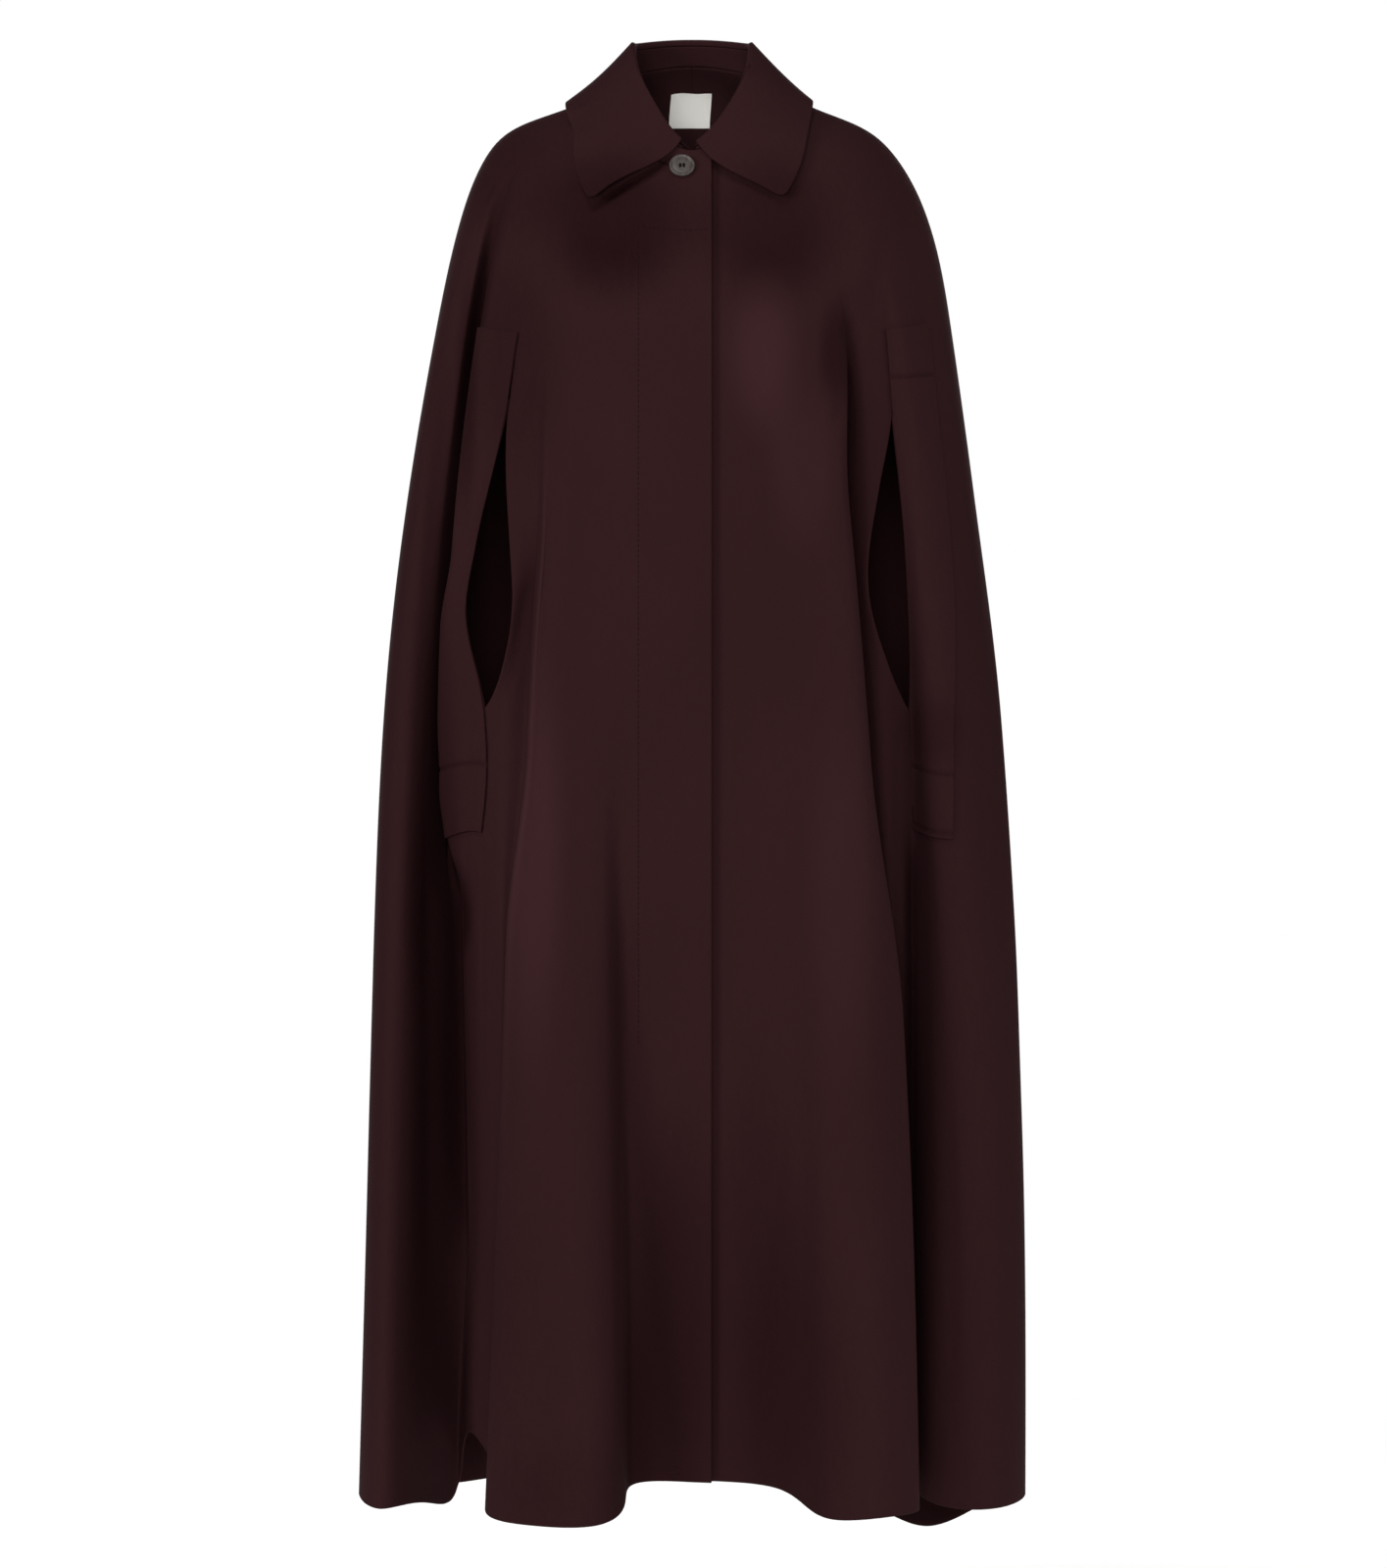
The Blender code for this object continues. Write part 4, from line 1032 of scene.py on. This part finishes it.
def mesh_object(name, verts, faces, material=None, edges=()):
    """A smooth-shaded object of listed points and faces."""
    mesh = bpy.data.meshes.new(name)
    points = [tuple(map(float, point)) for point in verts]
    mesh.from_pydata(points, edges, [tuple(map(int, face)) for face in faces])
    mesh.shade_smooth()
    if material:
        mesh.materials.append(material)
    thing = bpy.data.objects.new(name, mesh)
    bpy.context.scene.collection.objects.link(thing)
    return thing


button_along = along_at_x(BUTTON_X, BUTTON_FALL)
button_seat, button_normal = draped(button_along, BUTTON_FALL)
button_seat = button_seat + button_normal * SEAM_GAP
rim_width = BUTTON_RIM * RIM_ROUND[0]
rim_height = BUTTON_THICKNESS * RIM_ROUND[1]
profile = [(0, 0), (BUTTON_RADIUS * BUTTON_BASE, 0)]
for turn in np.radians(np.linspace(*RIM_TURN, RIM_POINTS)):
    inwards = rim_width * (1 - math.cos(turn))
    down = rim_height * (1 - math.sin(turn))
    profile.append((BUTTON_RADIUS - inwards, BUTTON_THICKNESS - down))
profile += [(BUTTON_RADIUS - BUTTON_RIM * inwards, BUTTON_THICKNESS - BUTTON_DISH * down)
            for inwards, down in DISH_LIP]
profile += [(BUTTON_RADIUS * outwards, BUTTON_THICKNESS - BUTTON_DISH * down)
            for outwards, down in DISH_FLOOR]
blank = mesh_object(
    "button_blank", [(radius, 0, z) for radius, z in profile], [],
    edges=[(i, i + 1) for i in range(len(profile) - 1)])
turned = blank.modifiers.new("turned", "SCREW")
turned.steps = turned.render_steps = BUTTON_STEPS
turned.use_merge_vertices = True
turned.merge_threshold = BUTTON_MERGE
turned.use_normal_calculate = True
drills = []
for across, up in ((-1, -1), (1, -1), (1, 1), (-1, 1)):
    ring = [(across * EYE_PITCH / 2 + EYE_RADIUS * math.cos(angle),
             up * EYE_PITCH / 2 + EYE_RADIUS * math.sin(angle))
            for angle in np.linspace(0, 2 * math.pi, EYE_SIDES, endpoint=False)]
    verts = [(x, y, z) for z in (-BUTTON_THICKNESS, 2 * BUTTON_THICKNESS) for x, y in ring]
    faces = [tuple(range(EYE_SIDES))[::-1], tuple(range(EYE_SIDES, 2 * EYE_SIDES))]
    faces += [(i, (i + 1) % EYE_SIDES, EYE_SIDES + (i + 1) % EYE_SIDES, EYE_SIDES + i)
              for i in range(EYE_SIDES)]
    drills.append(mesh_object(f"drill_{len(drills)}", verts, faces))
    drilled = blank.modifiers.new("drilled", "BOOLEAN")
    drilled.object = drills[-1]
    drilled.solver = "EXACT"
rounded = blank.modifiers.new("rounded holes", "BEVEL")
rounded.width = EYE_ROUND
rounded.segments = EDGE_SEGMENTS
rounded.limit_method = "ANGLE"
rounded.angle_limit = math.radians(EYE_EDGE_ANGLE)
rounded.use_clamp_overlap = True
bpy.context.view_layer.update()
drilled_mesh = bpy.data.meshes.new_from_object(blank.evaluated_get(bpy.context.evaluated_depsgraph_get()))
for scrap in (blank, *drills):
    bpy.data.objects.remove(scrap)
drilled_mesh.shade_smooth()
drilled_mesh.materials.clear()
drilled_mesh.materials.append(horn)
button = bpy.data.objects.new("coat_button", drilled_mesh)
bpy.context.scene.collection.objects.link(button)
placed(button, button_seat, button_normal)
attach(button, "root")
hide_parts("button")


# The sewing.
# Tonal buttonhole twist holds the button on, edges its hole, ties the bands down and holds the hidden
# button stand behind the right front. Each stitch sinks a little into the nap.

THREAD_DARK = "#0c0304"
THREAD_LIGHT = "#1c0c0e"
THREAD_ROUGHNESS = 0.75
THREAD_SPECULAR = 0.04
PLY_MM = 0.5             # the twist's plies are about 0.2 mm; drawn coarser, so that they show
STITCH_LENGTH = 0.0030
STITCH_GAP = 0.0014
STITCH_RADIUS = 0.00032
STITCH_RISE = 0.00030    # how far the middle of a stitch stands over the cloth
BAND_INSET = 0.0030      # from a band's edge to the ends of its stitched lines
TUBE_SIDES = 6
TUBE_RINGS = 5
TUBE_TIP = 0.35          # share of a thread's radius that is left at its ends
NOT_ALONG = (0.31, 0.87, 0.38)    # a direction that no thread runs in, from which its sides are worked out
LINE_SAMPLES = 40        # points along a short stitched line, and along the fly's long one
FLY_SAMPLES = 240

FLY_X = -0.0455          # the upright line of the hidden button stand
FLY_TOP = 0.157          # fall of the level line at its top
FLY_BOTTOM = 0.930
FLY_EDGE_INSET = 0.0040

BUTTONHOLE_LEFT_X = -0.0290    # the end that shows beside the button
BUTTONHOLE_RIGHT_X = -0.0130
BUTTONHOLE_PITCH = 0.0007
BUTTONHOLE_HALF_HEIGHT = 0.0013
BUTTONHOLE_THREAD_RADIUS = 0.00036
BUTTONHOLE_ARCH = (0.2, 0.9, 1.1, 0.9, -0.2)    # how high a stitch stands along its way, in radii

SHANK_THREADS = 4
SHANK_RADIUS = 0.00034
SHANK_SPACING = 1.5      # from thread to thread, in radii
SHANK_RISE = 0.0007
SHANK_FLATNESS = 4       # a higher power keeps a thread level for longer between its holes
SHANK_RINGS = 9
SHANK_DIP = 0.0006       # how far its ends go down into the holes

# Polyester twist: round, hard-spun thread, a shade darker than the wool, with a faint gleam on each ply.
twist, shader = new_material("spun polyester twist")
place = add_node(twist, "ShaderNodeTexCoord").outputs["Object"]
ply = add_node(
    twist, "ShaderNodeTexNoise", {"Scale": cycles_per_metre(PLY_MM), "Detail": 1}, {"Vector": place})
spun = add_node(
    twist, "ShaderNodeMix", {"A": linear(THREAD_DARK), "B": linear(THREAD_LIGHT)},
    {"Factor": ply.outputs["Fac"]}, data_type="RGBA")
twist.node_tree.links.new(spun.outputs["Result"], shader.inputs["Base Color"])
shader.inputs["Roughness"].default_value = THREAD_ROUGHNESS
shader.inputs["Specular IOR Level"].default_value = THREAD_SPECULAR


def tube(path, radius):
    """Points and faces of a closed round thread along a path, pointed at both ends."""
    path = np.asarray(path, float)
    ahead = unit(np.gradient(path, axis=0))
    side = unit(np.cross(ahead, NOT_ALONG))
    up = np.cross(ahead, side)
    angles = np.linspace(0, 2 * math.pi, TUBE_SIDES, endpoint=False)
    taper = np.full(len(path), 1.0)
    taper[[0, -1]] = TUBE_TIP
    ring = side[:, None] * np.cos(angles)[:, None] + up[:, None] * np.sin(angles)[:, None]
    verts = (path[:, None] + ring * (radius * taper)[:, None, None]).reshape(-1, 3)
    faces = []
    for i in range(len(path) - 1):
        low, high = i * TUBE_SIDES, (i + 1) * TUBE_SIDES
        for j in range(TUBE_SIDES):
            after = (j + 1) % TUBE_SIDES
            faces.append((low + j, low + after, high + after, high + j))
    faces.append(tuple(range(TUBE_SIDES))[::-1])
    faces.append(tuple(range((len(path) - 1) * TUBE_SIDES, len(path) * TUBE_SIDES)))
    return verts, faces


def threads(name, paths, radius):
    """One object of many threads that rides on the cape."""
    verts, faces = [], []
    for path in paths:
        more, sides = tube(path, radius)
        faces += [tuple(i + len(verts) for i in side) for side in sides]
        verts += list(more)
    thing = mesh_object(name, verts, faces, twist)
    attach(thing, "root")
    return thing


def running_stitches(line, normals):
    """Paths of stitches along a line on the cloth, each sunk at its ends."""
    steps = np.linalg.norm(np.diff(line, axis=0), axis=1)
    run = np.concatenate([[0], np.cumsum(steps)])
    paths = []
    for start in np.arange(0, run[-1] - STITCH_LENGTH, STITCH_LENGTH + STITCH_GAP):
        at = start + np.linspace(0, STITCH_LENGTH, TUBE_RINGS)
        spot = np.stack([np.interp(at, run, line[:, i]) for i in range(3)], axis=1)
        over = np.stack([np.interp(at, run, normals[:, i]) for i in range(3)], axis=1)
        rise = STITCH_RISE * np.sin(math.pi * np.linspace(0, 1, TUBE_RINGS)) - STITCH_RADIUS / 2
        paths.append(spot + over * rise[:, None])
    return paths


def band_stitches(side):
    """Paths of the stitches in the lines across a band."""
    paths = []
    for fall in BAND_LINES[side]:
        columns = slit_edges(side, np.array([fall]), BAND_COLUMNS)[1][0]
        inset = BAND_INSET / BAND_WIDTH
        across = np.linspace(inset, 1 - inset, LINE_SAMPLES)
        columns = np.interp(across, np.linspace(0, 1, BAND_COLUMNS + 1), columns)
        points, normals = draped(columns, np.full_like(columns, fall))
        paths += running_stitches(points + normals * (BAND_GAP + BAND_THICKNESS - GROOVE_DEPTH), normals)
    return paths


for side in BAND_LINES:
    threads(f"{side}_band_stitching", band_stitches(side), STITCH_RADIUS)

falls = np.linspace(FLY_TOP, FLY_BOTTOM, FLY_SAMPLES)
upright = np.array([along_at_x(FLY_X, fall) for fall in falls])
level_start = along_at_x(FRONT_EDGE_X - FLY_EDGE_INSET, FLY_TOP)
level = np.linspace(level_start, along_at_x(FLY_X, FLY_TOP), LINE_SAMPLES)
fly_paths = running_stitches(*draped(upright, falls))
fly_paths += running_stitches(*draped(level, np.full_like(level, FLY_TOP)))
threads("fly_stitching", fly_paths, STITCH_RADIUS)

hole_paths = []
for x in np.arange(BUTTONHOLE_LEFT_X, BUTTONHOLE_RIGHT_X, BUTTONHOLE_PITCH):
    for sign in (-1, 1):
        rise = np.linspace(0, BUTTONHOLE_HALF_HEIGHT * sign, TUBE_RINGS)
        spot, over = draped(along_at_x(x, BUTTON_FALL), BUTTON_FALL + rise)
        arch = BUTTONHOLE_THREAD_RADIUS * np.array(BUTTONHOLE_ARCH)
        hole_paths.append(spot + over * arch[:, None])
threads("buttonhole_stitching", hole_paths, BUTTONHOLE_THREAD_RADIUS)

shank_paths = []
half = EYE_PITCH / 2
dish_floor = BUTTON_THICKNESS - BUTTON_DISH * DISH_FLOOR[0][1]
for across in (-1, 1):
    for i in range(SHANK_THREADS):
        x = across * half + (i - (SHANK_THREADS - 1) / 2) * SHANK_RADIUS * SHANK_SPACING
        y = np.linspace(-half, half, SHANK_RINGS)
        z = dish_floor + SHANK_RISE * (1 - (y / half) ** SHANK_FLATNESS)
        z[[0, -1]] -= SHANK_DIP
        shank_paths.append(np.stack([np.full_like(y, x), y, z], axis=1))
shank = threads("button_thread", shank_paths, SHANK_RADIUS)
placed(shank, button_seat, button_normal)


# The stage.
# A plain pale studio floor that fades into the pale room round it, large soft lights, and the camera.

FLOOR_Z = -1.42          # the cape hangs 14 cm over the floor
FLOOR_RADIUS = 2.0
FLOOR_SOLID = 0.5        # radius inside which the floor is whole
FLOOR_COLOUR = "#fafafa"
FLOOR_ROUGHNESS = 0.8
ROOM_COLOUR = "#ffffff"
ROOM_LIGHT = 0.16        # strength of the room's own light on the cape
ROOM_SEEN = 1.0          # brightness of the room as the camera sees it
FLOOR_SIDES = 128

# Matt floor paint: even and almost white, so that only the soft shadow of the cape shows on it.
floor_paint, shader = new_material("matt studio floor paint")
shader.inputs["Base Color"].default_value = linear(FLOOR_COLOUR)
shader.inputs["Roughness"].default_value = FLOOR_ROUGHNESS
place = add_node(floor_paint, "ShaderNodeTexCoord").outputs["Object"]
distance = add_node(floor_paint, "ShaderNodeVectorMath", {}, {0: place}, operation="LENGTH")
fading = add_node(
    floor_paint, "ShaderNodeMapRange", {"From Min": FLOOR_SOLID, "From Max": FLOOR_RADIUS},
    {"Value": distance.outputs["Value"]}, interpolation_type="SMOOTHSTEP")
clear = add_node(floor_paint, "ShaderNodeBsdfTransparent")
faded = add_node(
    floor_paint, "ShaderNodeMixShader", {},
    {0: fading.outputs[0], 1: shader.outputs["BSDF"], 2: clear.outputs["BSDF"]})
floor_paint.node_tree.links.new(
    faded.outputs["Shader"], floor_paint.node_tree.nodes["Material Output"].inputs["Surface"])
ring = [(FLOOR_RADIUS * math.cos(angle), FLOOR_RADIUS * math.sin(angle), 0)
        for angle in np.linspace(0, 2 * math.pi, FLOOR_SIDES, endpoint=False)]
floor = mesh_object("studio_floor", ring, [range(FLOOR_SIDES)], floor_paint)
floor.location = (0, 0, FLOOR_Z)

room = bpy.data.worlds.new("pale studio")
room.use_nodes = True
backdrop = room.node_tree.nodes["Background"]
backdrop.inputs["Color"].default_value = linear(ROOM_COLOUR)
backdrop.inputs["Strength"].default_value = ROOM_LIGHT
seen = add_node(room, "ShaderNodeBackground", {"Color": linear(ROOM_COLOUR), "Strength": ROOM_SEEN})
rays = add_node(room, "ShaderNodeLightPath")
mixed = add_node(
    room, "ShaderNodeMixShader", {},
    {0: rays.outputs["Is Camera Ray"], 1: backdrop.outputs["Background"], 2: seen.outputs["Background"]})
room.node_tree.links.new(mixed.outputs["Shader"], room.node_tree.nodes["World Output"].inputs["Surface"])
bpy.context.scene.world = room
bpy.context.scene.view_settings.view_transform = "Standard"

# Each light's place, what it points at, its width and its power in watts.
LIGHTS = {
    "key":        ((-3.4, -3.0, 0.3), (0, 0, -0.60), 1.4, 160),
    "front":      ((-0.3, -4.6, -0.1), (0, 0, -0.45), 1.4, 130),
    "fill":       ((3.2, -2.8, 0.2), (0, 0, -0.50), 1.8, 56),
    "side":       ((3.9, -0.6, 0.1), (0.2, 0, -0.55), 1.8, 58),
    "top":        ((-0.5, -1.6, 1.7), (0, 0, -0.05), 0.5, 21),
    "back left":  ((-1.1, 4.2, 0.6), (0, 0, -0.55), 2.2, 90),
    "back right": ((1.1, 4.2, 0.6), (0, 0, -0.55), 2.2, 90),
}
for name, (spot, aim, width, power) in LIGHTS.items():
    lamp = bpy.data.lights.new(name, "AREA")
    lamp.size = width
    lamp.energy = power
    light = bpy.data.objects.new(name, lamp)
    bpy.context.scene.collection.objects.link(light)
    light.location = spot
    light.rotation_euler = (Vector(aim) - Vector(spot)).to_track_quat("-Z", "Y").to_euler()

# The camera stands square in front of the cape at half its height. The photograph's long side is 1600 pixels
# and its cape's middle lies at its pixel column 706.
PHOTO_SIZE = (1415, 1600)
PHOTO_MIDDLE = 706
PIXELS_PER_METRE = 1165
CAMERA_DISTANCE = 4.0
CAMERA_Z = -0.60
SENSOR = 36.0

lens = bpy.data.cameras.new("camera")
lens.sensor_width = SENSOR
lens.lens = SENSOR * PIXELS_PER_METRE * CAMERA_DISTANCE / PHOTO_SIZE[1]
lens.shift_x = (PHOTO_SIZE[0] / 2 - PHOTO_MIDDLE) / PHOTO_SIZE[1]
camera = bpy.data.objects.new("camera", lens)
bpy.context.scene.collection.objects.link(camera)
camera.location = (0, -CAMERA_DISTANCE, CAMERA_Z)
camera.rotation_euler = (math.radians(90), 0, 0)
bpy.context.scene.camera = camera
